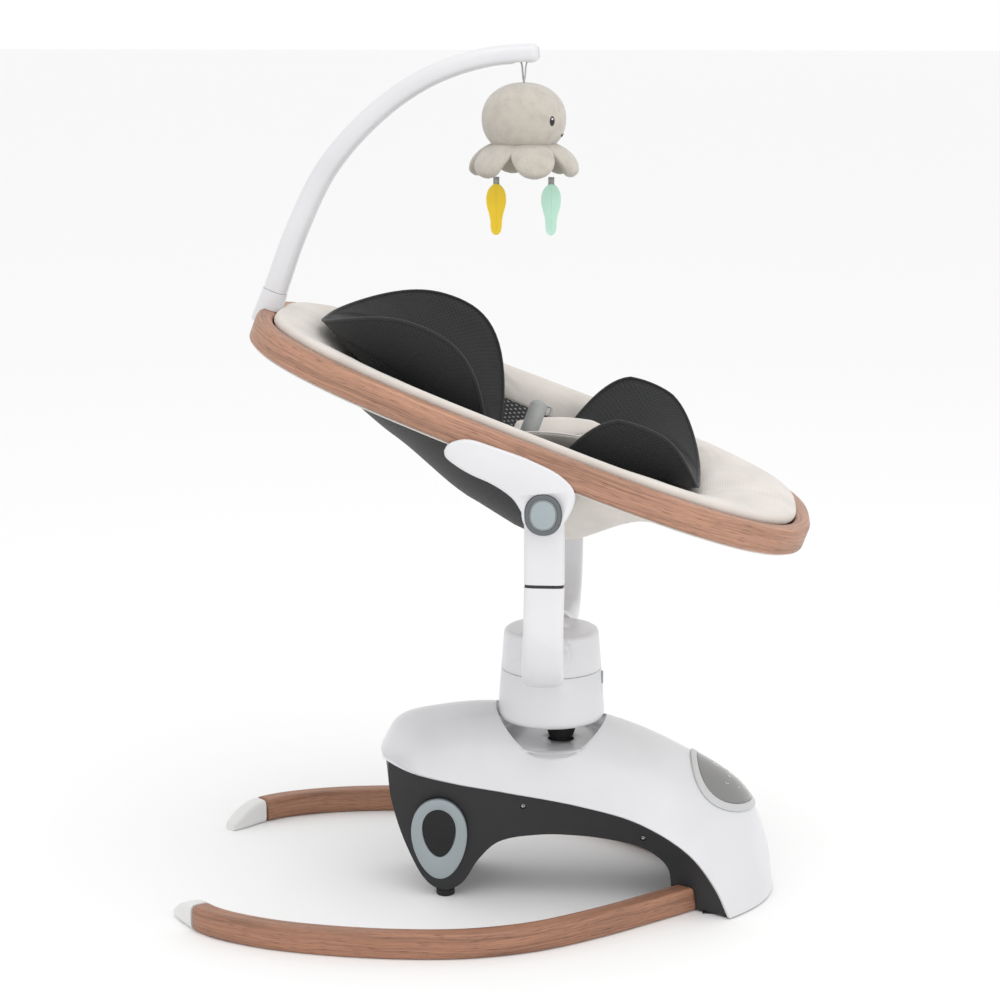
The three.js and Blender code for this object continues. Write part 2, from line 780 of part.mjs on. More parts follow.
function rimPoint(angle, inset) {
  const reach = (value) => Math.sign(value) * Math.abs(value) ** (2 / rimPower);
  const y = (rimHalfLength - inset) * reach(Math.sin(angle));
  const flare = 1 - (rimFlare * y) / rimHalfLength;
  return [(rimHalfWidth - inset) * reach(Math.cos(angle)) * flare, y];
}

const rimSteps = 40;          // the rim and the bowls inside it share these corners

function seatRim() {
  const bevel = 4;
  const corners = [
    [0, -bevel], [bevel, 0], [rimThickness - bevel, 0], [rimThickness, -bevel],
    [rimThickness, -rimHeight + bevel], [rimThickness - bevel, -rimHeight],
    [bevel, -rimHeight], [0, -rimHeight + bevel],
  ];
  return loft(Array.from({ length: rimSteps }, (_, i) => corners.map(([inset, z]) => {
    const [x, y] = rimPoint((i / rimSteps) * 2 * Math.PI, inset);
    return vec(x, y, z);
  })), true);
}

function knobOutline(share = 1, grow = 0) {
  return oval((knobHeight / 2) * share + grow, (knobWidth / 2) * share + grow, 2.3, 28);
}

// Places a shape drawn flat at the origin on a side's hinge, its Z pointing outward.
function onHinge(geometry, side, x) {
  return faceSide(geometry, side).translate(side * x, ...hingeInSeat);
}

function seatBracket(side) {
  const [y, z] = hingeInSeat;
  const under = -rimHeight - gap;
  const r = hingeRadius;
  const shape = new THREE.Shape();
  shape.moveTo(y + r, z);
  shape.absarc(y, z, r, 0, Math.PI, true);
  shape.quadraticCurveTo(y - r - 8, z + 26, y - r - 4, under);
  shape.lineTo(y + 124, under);
  shape.quadraticCurveTo(y + 128, under - 14, y + 112, under - 18);
  shape.quadraticCurveTo(y + 60, under - 26, y + r + 12, z + 16);
  shape.quadraticCurveTo(y + r, z + 8, y + r, z);
  const depth = bracketOuter - bracketInner;
  const body = new THREE.ExtrudeGeometry(shape, { depth, bevelEnabled: false, curveSegments: 8 })
    .rotateY(Math.PI / 2).rotateX(Math.PI / 2).translate(side > 0 ? bracketInner : -bracketOuter, 0, 0);
  const bore = rod(vec(0, y, z), vec(side * (rimHalfWidth + 40), y, z), pinRadius + gap, 20);
  const pocket = onHinge(plate(knobOutline(buttonShare, gap), 40), side, bracketOuter - buttonTravel - 9);
  return cut(body, bore, pocket);
}

function knobRing(side) {
  return onHinge(plate(knobOutline(), knobDepth, knobOutline(buttonShare, gap)), side, bracketOuter + gap);
}

function reclineButton(side) {
  return onHinge(plate(knobOutline(buttonShare), knobDepth + 9), side, bracketOuter - 7);
}

// ---- Seat fabric ----

// Height of the sling's lowest line along the seat, from the head end to the foot end.
const slingLine = [
  [1, -0.08], [0.74, -0.35], [0.42, -0.64], [0.1, -0.9], [-0.1, -1],
  [-0.26, -0.96], [-0.46, -0.54], [-0.72, -0.34], [-1, -0.1],
];

function slingBottom(y) {
  const share = y / rimHalfLength;
  const i = Math.max(1, slingLine.findIndex(([place]) => place <= share));
  const [[y0, z0], [y1, z1]] = [slingLine[i - 1], slingLine[i]];
  const t = THREE.MathUtils.smoothstep(share, y1, y0);
  const ease = mix(t, (share - y1) / (y0 - y1), 0.6);
  return slingDepth * mix(z1, z0, ease);
}

// Height of a bowl inside the rim. lift raises its bottom, edgeHeight is where it meets the rim.
function bowlHeight(x, y, { inset, lift, edgeHeight }) {
  const flare = 1 - (rimFlare * y) / rimHalfLength;
  const across = Math.abs(x / ((rimHalfWidth - inset) * flare)) ** rimPower;
  const along = Math.abs(y / (rimHalfLength - inset)) ** rimPower;
  const fall = Math.max(0, 1 - (across + along) ** (2.6 / rimPower));
  return edgeHeight + (slingBottom(y) + lift - edgeHeight) * fall;
}

function bowl(form, wall) {
  const rings = 5;
  const rows = Array.from({ length: rings + 1 }, (_, ring) => {
    const share = Math.sin(((1 - ring / rings) * Math.PI) / 2);
    return Array.from({ length: rimSteps + 1 }, (_, i) => {
      const [rimX, rimY] = rimPoint(((i % rimSteps) / rimSteps) * 2 * Math.PI, form.inset);
      const [x, y] = [rimX * share, rimY * share];
      return vec(x, y, bowlHeight(x, y, form));
    });
  });
  return thicken(surface(rows), wall);
}

const slingForm = { inset: rimThickness + softGap + slingWall, lift: 0, edgeHeight: slingEdge };
const linerForm = {
  inset: slingForm.inset + softGap + linerWall,
  lift: slingWall + softGap + linerWall + 2,
  edgeHeight: linerEdge,
};

const seatSling = () => bowl(slingForm, slingWall);
const seatLiner = () => bowl(linerForm, linerWall);

// A pad with raised wings and rounded ends, between two places along the seat.
function pad(from, to, wingHeight) {
  const padInset = linerForm.inset + padWall + padLift;
  const rows = Array.from({ length: 11 }, (_, i) => {
    const t = (1 - Math.cos((i / 10) * Math.PI)) / 2;
    const y = mix(from, to, t);
    const wing = wingHeight * Math.sin(t * Math.PI) ** 0.8;
    const taper = Math.max(0.35, (1 - Math.abs(2 * t - 1) ** 3) ** (1 / 3));
    const half = (rimHalfAt(y) - padInset) * taper;
    return Array.from({ length: 13 }, (_, j) => {
      const share = j / 6 - 1;
      const under = bowlHeight(half * share * 1.13, y, linerForm);
      return vec(half * share, y, under + padWall + padLift + wing * Math.abs(share) ** 3);
    });
  });
  return thicken(surface(rows), padWall);
}

const backInsert = () => pad(padGap, backPadEnd, backWingHeight);
const legInsert = () => pad(legPadEnd, -padGap, legWingHeight);

// The strap stands up between the legs and ends in a loop towards the feet. It is drawn as
// (towards the head, up) in the seat's middle plane.
function crotchStrap() {
  const bottom = bowlHeight(0, 0, linerForm) + 5;
  const top = strapTop;
  const half = strapWidth / 2;
  const outline = [
    [half, bottom], [half, top], [-half, top], [-half - 4, top - 2], [-half - 4, top - 8],
    [-half, top - 14], [-half, bottom],
  ];
  const hole = [[-half - 1, top - 9], [3 - half, top - 10], [3 - half, top - 4], [-half - 1, top - 4]];
  return plate(outline, strapThickness, hole).rotateX(Math.PI / 2).rotateZ(Math.PI / 2)
    .translate(-strapThickness / 2, 0, 0);
}

// Half of the waist belt, a padded flap that leans on its edge and narrows towards the feet.
function waistBelt(side) {
  const root = vec(side * 30, 14, -42);
  const tip = vec(side * 56, -80, 0);
  const along = tip.clone().sub(root);
  const lean = vec(side, 0, 1.2).projectOnPlane(along.clone().normalize()).normalize();
  const half = (t) => (beltWidth / 2) * (1 - 0.65 * t * t);
  return sweep(new THREE.LineCurve3(root, tip), 8, lean, (t) => [half(t), beltThickness / 2], 3, 12);
}

// ---- Toy bar ----

const barFootY = rimHalfLength - rimThickness / 2 + 3;

function barSocket() {
  const low = gap;
  const outer = curveThrough([vec(0, barFootY, low), vec(0, barFootY, barSocketHeight)]);
  const half = [barRootHalf[0] + 1.5, barRootHalf[1] + 1];
  const body = sweep(outer, 2, vec(1, 0, 0), () => half, 2.4, 20);
  const top = vec(0, barFootY, barSocketHeight + 1);
  const bore = rod(vec(0, barFootY, 6), top, spigotRadius + gap, 20);
  return cut(body, bore);
}

// The bar rises square to the rim and bends forward. Shares of barReach forward and barHeight up.
const barPath = [[0, 0], [0, 0.2], [0.05, 0.43], [0.22, 0.65], [0.44, 0.81], [0.71, 0.925], [1, 1]];
const barStart = barSocketHeight + gap;

function barCurve() {
  return curveThrough(barPath.map(([forward, up]) =>
    vec(0, barFootY - forward * barReach, mix(barStart, barHeight, up))));
}

// The notch under the bar's tip holds the pin that the toy's strap hangs from. The pin's place
// is given in the seat's frame.
const pinDrop = 3;

function toyPinPlace() {
  const curve = barCurve();
  const share = 1 - notchFromTip / curve.getLength();
  return curve.getPointAt(share).add(vec(0, 0, -pinDrop));
}

function toyBar() {
  const size = (t) => [mix(barRootHalf[0], barTipHalf[0], t), mix(barRootHalf[1], barTipHalf[1], t)];
  const bar = sweep(barCurve(), 16, vec(1, 0, 0), size, 2.6, 14);
  const spigot = rod(vec(0, barFootY, 8), vec(0, barFootY, barStart + 10), spigotRadius, 20);
  const place = toyPinPlace();
  const notch = block([notchWidth, notchLength, 20], [0, place.y, place.z - 4]);
  const end = vec(notchWidth / 2 + 1, 0, 0);
  const pin = rod(place.clone().sub(end), place.clone().add(end), toyPinRadius, 12);
  return join(cut(join(bar, spigot), notch), pin);
}

// ---- Toy ----
// The toy is drawn about the pin that it hangs from.

const toyHeadTop = -toyDrop;
const toyHeadBottom = toyHeadTop - 1.7 * toyHeadRadius;

function toyStrap() {
  const reach = (x) => vec(x, 0, 0);
  const half = toyStrapWidth / 2;
  const eye = rod(reach(-half), reach(half), toyPinRadius + 2.4, 16);
  const tail = block([toyStrapWidth, 2, toyDrop - 3], [0, 0, -2 - (toyDrop - 3) / 2]);
  return cut(join(eye, tail), rod(reach(-half - 1), reach(half + 1), toyPinRadius + gap, 16));
}

function toyHead() {
  const rows = 10;
  const middle = (toyHeadTop + toyHeadBottom) / 2;
  const rise = (toyHeadTop - toyHeadBottom) / 2;
  const profile = Array.from({ length: rows + 1 }, (_, i) => {
    const angle = (i / rows) * Math.PI - Math.PI / 2;
    return [toyHeadRadius * Math.cos(angle), middle - gap + rise * Math.sin(angle)];
  });
  return turned(profile, 20);
}

// A skirt of six rounded petals round the bottom of the head.
function toyPetals() {
  const top = toyHeadBottom + 12;
  const rows = [0.3, 0.7, 1].map((share, row) => Array.from({ length: 37 }, (_, i) => {
    const angle = ((i % 36) / 36) * 2 * Math.PI;
    const lobe = 1 + 0.16 * share * Math.cos(6 * (angle - petalTurn));
    const radius = 0.5 * toyHeadRadius + 0.72 * toyHeadRadius * share * lobe;
    return vec(radius * Math.cos(angle), radius * Math.sin(angle), top - petalDrop * share ** 1.6 + row);
  }));
  return thicken(surface(rows), petalWall);
}

// A leaf on a short ribbon, drawn about the ribbon's top.
function teether() {
  const leafSide = [[7, -12], [11, -22], [11, -34], [7, -46], [6.5, -58]];
  const leafOther = leafSide.map(([x, y]) => [-x, y]).reverse();
  const leaf = [[0, -10], ...leafSide, [0, -66], ...leafOther];
  const shape = new THREE.Shape().setFromPoints(leaf.map(([x, y]) => new THREE.Vector2(x, y)));
  const body = new THREE.ExtrudeGeometry(shape, { depth: 9, bevelEnabled: false }).rotateX(Math.PI / 2)
    .rotateZ(Math.PI / 2).translate(-4.5, 0, 0);
  return join(body, block([3, 8, 15], [0, 0, -7.5]));
}

// ---- Floor legs ----

// Middle line of a leg on the floor plan, from the housing to the tip, as shares of legHalfSpan
// and legReach.
const legPlan = [
  [0.26, -0.43], [0.46, -0.3], [0.68, -0.15], [0.865, 0.01], [0.97, 0.18], [1, 0.36],
  [0.98, 0.56], [0.92, 0.73], [0.8, 0.88], [0.58, 0.995],
];

// A stretch of leg between two shares of its length, resting on the floor. sizeAt gives its half
// height and half width.
function legSolid(side, from, to, steps, sizeAt) {
  const line = curveThrough(legPlan.map(([across, along]) =>
    vec(side * across * legHalfSpan, along * legReach, 0)));
  const up = vec(0, 0, 1);
  return loft(Array.from({ length: steps + 1 }, (_, i) => {
    const place = mix(from, to, i / steps);
    const [high, wide] = sizeAt(i / steps);
    const out = line.getTangentAt(place).cross(up).normalize();
    const centre = line.getPointAt(place).addScaledVector(up, high);
    return oval(high, wide, 6, 12).map(([p, q]) =>
      centre.clone().addScaledVector(up, p).addScaledVector(out, q));
  }));
}

const legTipShare = 1 - legTipLength / legLength;
const legTipStart = legTipShare + (3 * gap) / legLength;

function floorLeg(side) {
  const leg = legSolid(side, 0, legTipShare, 20, () => [legHeight / 2, legWidth / 2]);
  const housing = loft(shellRows(shellRowCount, 2 * gap).slice(1, -1));
  const clearOf = housing.clone().translate(0, 1, -baseLift - 1);
  return cut(leg, housing, clearOf, legBolt(side, gap));
}

function legTip(side) {
  return legSolid(side, legTipStart, 1, 10, (t) => [
    (legHeight / 2) * (1 - 0.72 * t * t),
    (legWidth / 2) * (1 - 0.35 * t ** 4),
  ]);
}

// The bolt passes through the shell's wall, just in front of the arch, into the leg.
function legBolt(side, grow = 0) {
  const at = (x) => vec(side * x, -0.565 * baseFront, legHeight / 2);
  const wall = 0.72 * baseHalfWidth;
  return rod(at(wall - 14 - grow), at(wall + 18 + grow), screwRadius + grow, 14);
}

// ---- Assembly ----

export const model = new THREE.Group();
export default model;

part(model, 'base_cover', baseCover(), white);
part(model, 'base_shell', baseShell(), black);
part(model, 'speaker_ring', speakerRing(), greyTrim);
part(model, 'speaker_grille', speakerGrille(), rubber);
part(model, 'speaker_driver', speakerDriver(), steel);
part(model, 'panel_bezel', panelBezel(), greyTrim);
part(model, 'touch_panel', touchPanel(), darkTrim);
part(model, 'control_board', controlBoard(), circuitGreen);
part(model, 'dc_inlet', dcInlet(), rubber);
part(model, 'chassis_plate', chassisPlate(), steel);
part(model, 'bearing_front', bearing(-1), rubber);
part(model, 'bearing_rear', bearing(1), rubber);
part(model, 'drive_coil', driveCoil(), copper);
part(model, 'drive_magnet', driveMagnet(), steel);
part(model, 'swing_axle', swingAxle(), steel);
part(model, 'swing_stem', swingStem(), rubber);
part(model, 'centring_spring', centringSpring(), steel);
part(model, 'lower_cup', lowerCup(), white);
part(model, 'turntable_ring', turntableRing(), darkTrim);
part(model, 'upper_cup', upperCup(), white);
part(model, 'seat_lock_button', lockButton(), greyTrim);

for (const [name, side] of Object.entries(sides)) {
  part(model, `rear_foot_${name}`, rearFoot(side), rubber);
  part(model, `front_pad_${name}`, frontPad(side), rubber);
  part(model, `floor_leg_${name}`, floorLeg(side), wood);
  part(model, `leg_tip_${name}`, legTip(side), white);
  part(model, `leg_bolt_${name}`, legBolt(side), steel);
  part(model, `lower_arm_${name}`, lowerArm(side), white);
  part(model, `arm_band_${name}`, armBand(side), black);
  part(model, `upper_arm_${name}`, upperArm(side), white);
  part(model, `hinge_pin_${name}`, hingePin(side), steel);
}

const seat = new THREE.Group();
seat.rotation.x = seatPitch;
seat.position.set(0, -hingeInSeat[0], -hingeInSeat[1]).applyEuler(seat.rotation)
  .add(vec(0, hingeY, hingeHeight));
model.add(seat);

part(seat, 'seat_rim', seatRim(), wood);
part(seat, 'seat_sling', seatSling(), cream);
part(seat, 'seat_liner', seatLiner(), cream);
part(seat, 'back_insert', backInsert(), meshBlack);
part(seat, 'leg_insert', legInsert(), meshBlack);
part(seat, 'crotch_strap', crotchStrap(), strapGrey);
part(seat, 'bar_socket', barSocket(), white);
part(seat, 'toy_bar', toyBar(), white);
for (const [name, side] of Object.entries(sides)) {
  part(seat, `seat_bracket_${name}`, seatBracket(side), white);
  part(seat, `knob_ring_${name}`, knobRing(side), darkTrim);
  part(seat, `recline_button_${name}`, reclineButton(side), greyTrim);
  part(seat, `waist_belt_${name}`, waistBelt(side), cream);
}

const toy = new THREE.Group();
seat.updateMatrixWorld(true);
toy.position.copy(seat.localToWorld(toyPinPlace()));
model.add(toy);

part(toy, 'toy_strap', toyStrap(), strapGrey);
part(toy, 'toy_head', toyHead(), plush);
part(toy, 'toy_petals', toyPetals(), plush);
for (const [name, place, look] of [['yellow', 0.5, yellow], ['mint', -0.5, mint]]) {
  const leaf = teether().translate(0, place * teetherSpacing, toyHeadBottom - 26);
  part(toy, `teether_${name}`, leaf, look);
}

// The origin goes to the bottom centre of the whole object.
const bounds = new THREE.Box3().setFromObject(model, true);
model.position.set(0, -(bounds.min.y + bounds.max.y) / 2, 0);
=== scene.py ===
import bmesh
import bpy
import math
from math import cos, pi, radians, sin
import numpy as np
from mathutils import Matrix, Vector
from mathutils.bvhtree import BVHTree


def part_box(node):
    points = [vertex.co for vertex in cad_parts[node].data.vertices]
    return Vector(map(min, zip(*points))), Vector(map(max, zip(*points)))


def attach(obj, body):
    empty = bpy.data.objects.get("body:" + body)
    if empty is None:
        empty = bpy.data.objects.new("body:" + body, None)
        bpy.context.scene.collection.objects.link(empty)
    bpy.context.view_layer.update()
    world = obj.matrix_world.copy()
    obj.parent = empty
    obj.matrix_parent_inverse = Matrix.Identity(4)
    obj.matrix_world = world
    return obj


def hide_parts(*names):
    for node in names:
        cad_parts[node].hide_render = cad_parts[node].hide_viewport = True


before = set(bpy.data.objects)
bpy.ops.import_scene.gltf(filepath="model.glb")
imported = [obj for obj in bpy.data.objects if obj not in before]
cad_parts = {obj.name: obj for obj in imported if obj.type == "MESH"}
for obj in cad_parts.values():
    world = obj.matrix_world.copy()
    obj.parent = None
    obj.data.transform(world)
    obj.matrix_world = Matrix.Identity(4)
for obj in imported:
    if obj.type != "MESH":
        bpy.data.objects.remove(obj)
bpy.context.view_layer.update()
scene = bpy.context.scene

# ---- View, floor and light ----
# A pale floor under a white sky, one broad soft box overhead and one in front of it.
# The camera stands low on the child's right, a little towards the feet.

look_at = Vector((0, -0.0028, 0.474))
azimuth, elevation, camera_distance = radians(-85), radians(11.2), 2.964
back = Vector((sin(azimuth) * cos(elevation), -cos(azimuth) * cos(elevation), sin(elevation)))
camera = bpy.data.objects.new("camera", bpy.data.cameras.new("camera"))
camera.data.lens = 89.6
camera.data.sensor_width = 36
camera.data.clip_end = 200
camera.location = look_at + back * camera_distance
camera.rotation_euler = (-back).to_track_quat("-Z", "Y").to_euler()
scene.collection.objects.link(camera)
scene.camera = camera
scene.view_settings.view_transform = "Standard"

world = bpy.data.worlds.new("sky")
world.use_nodes = True
world.node_tree.nodes["Background"].inputs["Color"].default_value = (1, 1, 1, 1)
world.node_tree.nodes["Background"].inputs["Strength"].default_value = 1.0
scene.world = world


def soft_box(name, place, size, power):
    lamp = bpy.data.objects.new(name, bpy.data.lights.new(name, "AREA"))
    lamp.data.size = size
    lamp.data.energy = power
    lamp.location = place
    lamp.rotation_euler = (look_at - Vector(place)).to_track_quat("-Z", "Y").to_euler()
    scene.collection.objects.link(lamp)


soft_box("overhead", (-1.2, -0.6, 3.0), 2.4, 20)
soft_box("front", (-2.6, -2.0, 1.5), 1.6, 9)


def add(tree, kind, sockets=None, out=0, **settings):
    """Adds a node to a material. A socket takes a value or another node's output."""
    item = tree.nodes.new("ShaderNode" + kind)
    for key, value in settings.items():
        setattr(item, key, value)
    for key, value in (sockets or {}).items():
        if isinstance(value, bpy.types.NodeSocket):
            tree.links.new(value, item.inputs[key])
        else:
            item.inputs[key].default_value = value
    return item.outputs[out]


def blank(name, roughness, metallic=0.0, coat=0.0, sheen=0.0):
    look = bpy.data.materials.new(name)
    look.use_nodes = True
    shader = look.node_tree.nodes["Principled BSDF"]
    shader.inputs["Roughness"].default_value = roughness
    shader.inputs["Metallic"].default_value = metallic
    shader.inputs["Coat Weight"].default_value = coat
    shader.inputs["Coat Roughness"].default_value = 0.12
    shader.inputs["Sheen Weight"].default_value = sheen
    shader.inputs["Sheen Roughness"].default_value = 0.5
    return look, look.node_tree, shader


def blend_colors(tree, share, stops):
    """A colour that goes through the stops, as (place, colour), as share goes from 0 to 1."""
    item = tree.nodes.new("ShaderNodeValToRGB")
    tree.links.new(share, item.inputs["Fac"])
    ramp = item.color_ramp
    while len(ramp.elements) < len(stops):
        ramp.elements.new(0.5)
    for element, (place, color) in zip(ramp.elements, stops):
        element.position = place
        element.color = (*color, 1)
    return item.outputs["Color"]


def tinted(color, share):
    return tuple(min(1, value * share) for value in color)


def paint(tree, shader, color):
    tree.links.new(color, shader.inputs["Base Color"])


def relief(tree, shader, height, depth, strength=1.0):
    bump = add(tree, "Bump", {"Height": height, "Distance": depth, "Strength": strength})
    tree.links.new(bump, shader.inputs["Normal"])


floor_look, floor_tree, floor_shader = blank("studio_floor", 0.9)
floor_cloud = add(floor_tree, "TexNoise", {"Scale": 2.0, "Detail": 2.0})
floor_color = blend_colors(floor_tree, floor_cloud, [(0, (0.93, 0.93, 0.93)), (1, (0.95, 0.95, 0.95))])
paint(floor_tree, floor_shader, floor_color)
floor_mesh = bpy.data.meshes.new("studio_floor")
far = 60
floor_mesh.from_pydata([(-far, -far, 0), (far, -far, 0), (far, far, 0), (-far, far, 0)], [], [(0, 1, 2, 3)])
floor_mesh.materials.append(floor_look)
floor = bpy.data.objects.new("studio_floor", floor_mesh)
scene.collection.objects.link(floor)

# ---- Housing: white cover ----
# One gloss moulding like a pebble with a round dish let into its top for the column's cup.
# It is drawn as rows that run across from edge to crest to edge, and the dish is cut afterwards.

arm_low, arm_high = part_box("upper_arm_left")
hinge_set_back = 0.005
column_y = (arm_low.y + arm_high.y) / 2 + hinge_set_back
housing_front, housing_rear, housing_height, housing_half = 0.270, 0.205, 0.225, 0.117
housing_lift, wall, gap = 0.002, 0.003, 0.0004
crest = [
    (0, 1, 0.77), (0, 0.91, 0.9), (0, 0.63, 0.975), (0, 0.3, 1), (0, -0.24, 0.94), (0, -0.62, 0.75),
    (0, -0.87, 0.54), (0, -0.97, 0.27), (0, -1, 0),
]
cover_edge = [
    (0.7, 0.94, 0.79), (0.77, 0.78, 0.72), (0.81, 0.54, 0.67), (0.83, 0.24, 0.63), (0.84, -0.15, 0.565),
    (0.85, -0.41, 0.48), (0.88, -0.63, 0.32), (0.95, -0.75, 0.145), (1, -0.81, 0),
]


def housing_line(shares):
    return [
        Vector((
            across * housing_half,
            column_y + lengthways * (housing_rear if lengthways > 0 else housing_front),
            housing_lift + up * (housing_height - housing_lift),
        ))
        for across, lengthways, up in shares
    ]


def along(points, share):
    """The place at a share of the way on the smooth curve through the points."""
    points = [Vector(point) for point in points]
    run = [2 * points[0] - points[1], *points, 2 * points[-1] - points[-2]]
    spot = min(max(share, 0), 0.999999) * (len(points) - 1)
    i, w = int(spot), spot - int(spot)
    a, b, c, d = run[i:i + 4]
    s, t, u = (max((q - p).length, 1e-9) ** 0.5 for p, q in ((a, b), (b, c), (c, d)))
    leave = ((b - a) / s - (c - a) / (s + t) + (c - b) / t) * t
    arrive = ((c - b) / t - (d - b) / (t + u) + (d - c) / u) * t
    square, cube = 3 * (c - b) - 2 * leave - arrive, 2 * (b - c) + leave + arrive
    return b + leave * w + square * w ** 2 + cube * w ** 3


def skin(name, rows, closed=False, ring=False, capped=False):
    """A mesh through rows of points. closed joins each row's ends, ring joins the last row to the first.
    Its UV map, run, is in metres: along the rows, and round each row."""
    tall, wide = len(rows), len(rows[0])
    faces, marks = [], []
    for i in range(tall if ring else tall - 1):
        for j in range(wide if closed else wide - 1):
            corners = [(i, j), (i, j + 1), (i + 1, j + 1), (i + 1, j)]
            faces.append([(a % tall) * wide + b % wide for a, b in corners])
            marks.append(corners)
    if capped:
        for i, turn in ((0, -1), (tall - 1, 1)):
            cap = [(i, j) for j in range(wide)][::turn]
            faces.append([a * wide + b for a, b in cap])
            marks.append(cap)
    mesh = bpy.data.meshes.new(name)
    mesh.from_pydata([point for row in rows for point in row], [], faces)
    middle = wide // 2 if not closed else 0
    steps = [(rows[(i + 1) % tall][middle] - rows[i][middle]).length for i in range(tall)]
    turns = [(rows[tall // 2][(j + 1) % wide] - rows[tall // 2][j]).length for j in range(wide)]
    far, round_ = np.cumsum([0, *steps]), np.cumsum([0, *turns])
    uv = mesh.uv_layers.new(name="run").data
    for face, corners in zip(mesh.polygons, marks):
        for loop, (a, b) in zip(face.loop_indices, corners):
            uv[loop].uv = (far[a], round_[b])
    piece = bpy.data.objects.new(name, mesh)
    scene.collection.objects.link(piece)
    if closed and (ring or capped):
        face_out(piece)
    mesh.shade_smooth()
    return piece


def solid(name, rings):
    """A closed body through rings of points, with a flat cap at each end."""
    return skin(name, rings, closed=True, capped=True)


def face_out(piece):
    """Turns a closed shape's faces outward."""
    form = bmesh.new()
    form.from_mesh(piece.data)
    bmesh.ops.recalc_face_normals(form, faces=form.faces)
    form.to_mesh(piece.data)
    form.free()


def face_from(piece, spot):
    """Turns an open sheet so that its faces look away from a spot."""
    pull = sum(face.normal.dot(face.center - Vector(spot)) * face.area for face in piece.data.polygons)
    if pull < 0:
        piece.data.flip_normals()


def bake(piece):
    """Makes the piece's modifiers part of its mesh."""
    ready = piece.evaluated_get(bpy.context.evaluated_depsgraph_get())
    mesh = bpy.data.meshes.new_from_object(ready)
    piece.modifiers.clear()
    piece.data = mesh


def thicken(piece, thickness):
    shell = piece.modifiers.new("wall", "SOLIDIFY")
    shell.thickness = thickness
    shell.offset = -1
    shell.use_even_offset = True
    bake(piece)


def carve(piece, tool, how="DIFFERENCE"):
    step = piece.modifiers.new("carve", "BOOLEAN")
    step.operation = how
    step.object = tool
    step.solver = "EXACT"
    bake(piece)
    bpy.data.objects.remove(tool)


def soften(piece, width, limit=38):
    """Rounds the sharp edges and shades the rest smooth."""
    edge = piece.modifiers.new("edge", "BEVEL")
    edge.width = width
    edge.segments = 2
    edge.limit_method = "ANGLE"
    edge.angle_limit = radians(limit)
    even = piece.modifiers.new("even", "WEIGHTED_NORMAL")
    even.keep_sharp = True
    bake(piece)


def add_shape(piece, other):
    """Moves another closed shape into the piece's mesh."""
    form = bmesh.new()
    form.from_mesh(piece.data)
    form.from_mesh(other.data)
    form.to_mesh(piece.data)
    form.free()
    bpy.data.objects.remove(other)


def round_angles(count):
    return [i * 2 * pi / count for i in range(count)]


def rod(name, start, end, radius, sides=64):
    start, end = Vector(start), Vector(end)
    turn = (end - start).to_track_quat("Z", "Y")
    circle = [turn @ Vector((cos(a), sin(a), 0)) * radius for a in round_angles(sides)]
    return solid(name, [[spot + point for point in circle] for spot in (start, end)])


def fit(piece, body, slot, look, *nodes):
    """Gives the piece its finish and its body, and hides the plain solids that it stands for."""
    piece.data.materials.clear()
    piece.data.materials.append(look)
    if nodes:
        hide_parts(*nodes)
    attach(piece, body)
    return piece


def dress(look, *nodes):
    for node in nodes:
        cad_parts[node].data.materials.clear()
        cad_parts[node].data.materials.append(look)


def noise(tree, place, scale, detail=2.0, **more):
    return add(tree, "TexNoise", {"Vector": place, "Scale": scale, "Detail": detail, **more})


def moulded(name, color, roughness, coat=0.0, grain=0.00002, pitch=900.0):
    """Moulded plastic: faint flow marks in its colour and gloss, over a fine etched grain."""
    look, tree, shader = blank(name, roughness, coat=coat)
    place = add(tree, "TexCoord", out=3)
    flow = noise(tree, place, 7.0, 3.0, Distortion=0.6)
    shade = blend_colors(tree, flow, [(0.25, tinted(color, 0.94)), (0.75, tinted(color, 1.04))])
    paint(tree, shader, shade)
    gloss = add(tree, "MapRange", {"Value": flow, "To Min": roughness - 0.04, "To Max": roughness + 0.05})
    tree.links.new(gloss, shader.inputs["Roughness"])
    fine = noise(tree, place, pitch, 2.0)
    relief(tree, shader, fine, grain)
    return look


white_plastic = moulded("white_gloss_plastic", (0.7, 0.7, 0.72), 0.3, coat=0.25, grain=0.000008)
crest_line, edge_line = housing_line(crest), housing_line(cover_edge)


def cover_row(share, count=48):
    """A row over the cover, bowed from its edge up to its crest and down again."""
    top, foot = along(crest_line, share), along(edge_line, share)
    row = []
    for i in range(count + 1):
        across = 2 * i / count - 1
        rise = 1 - across ** 2
        row.append(Vector((
            foot.x * across, foot.y + (top.y - foot.y) * rise, foot.z + (top.z - foot.z) * rise)))
    return row


def surface_of(piece):
    """The piece's surface as it is now, for finding places on it."""
    form = bmesh.new()
    form.from_mesh(piece.data)
    surface = BVHTree.FromBMesh(form)
    form.free()
    return surface


cover = skin("housing_cover", [cover_row(i / 90) for i in range(91)])
face_from(cover, (0, column_y - 0.03, 0.03))
cover_skin = surface_of(cover)
thicken(cover, wall)


def stand_on(piece, height):
    """Keeps a piece's lower edge from dipping under a height."""
    for point in piece.data.vertices:
        point.co.z = max(point.co.z, height)


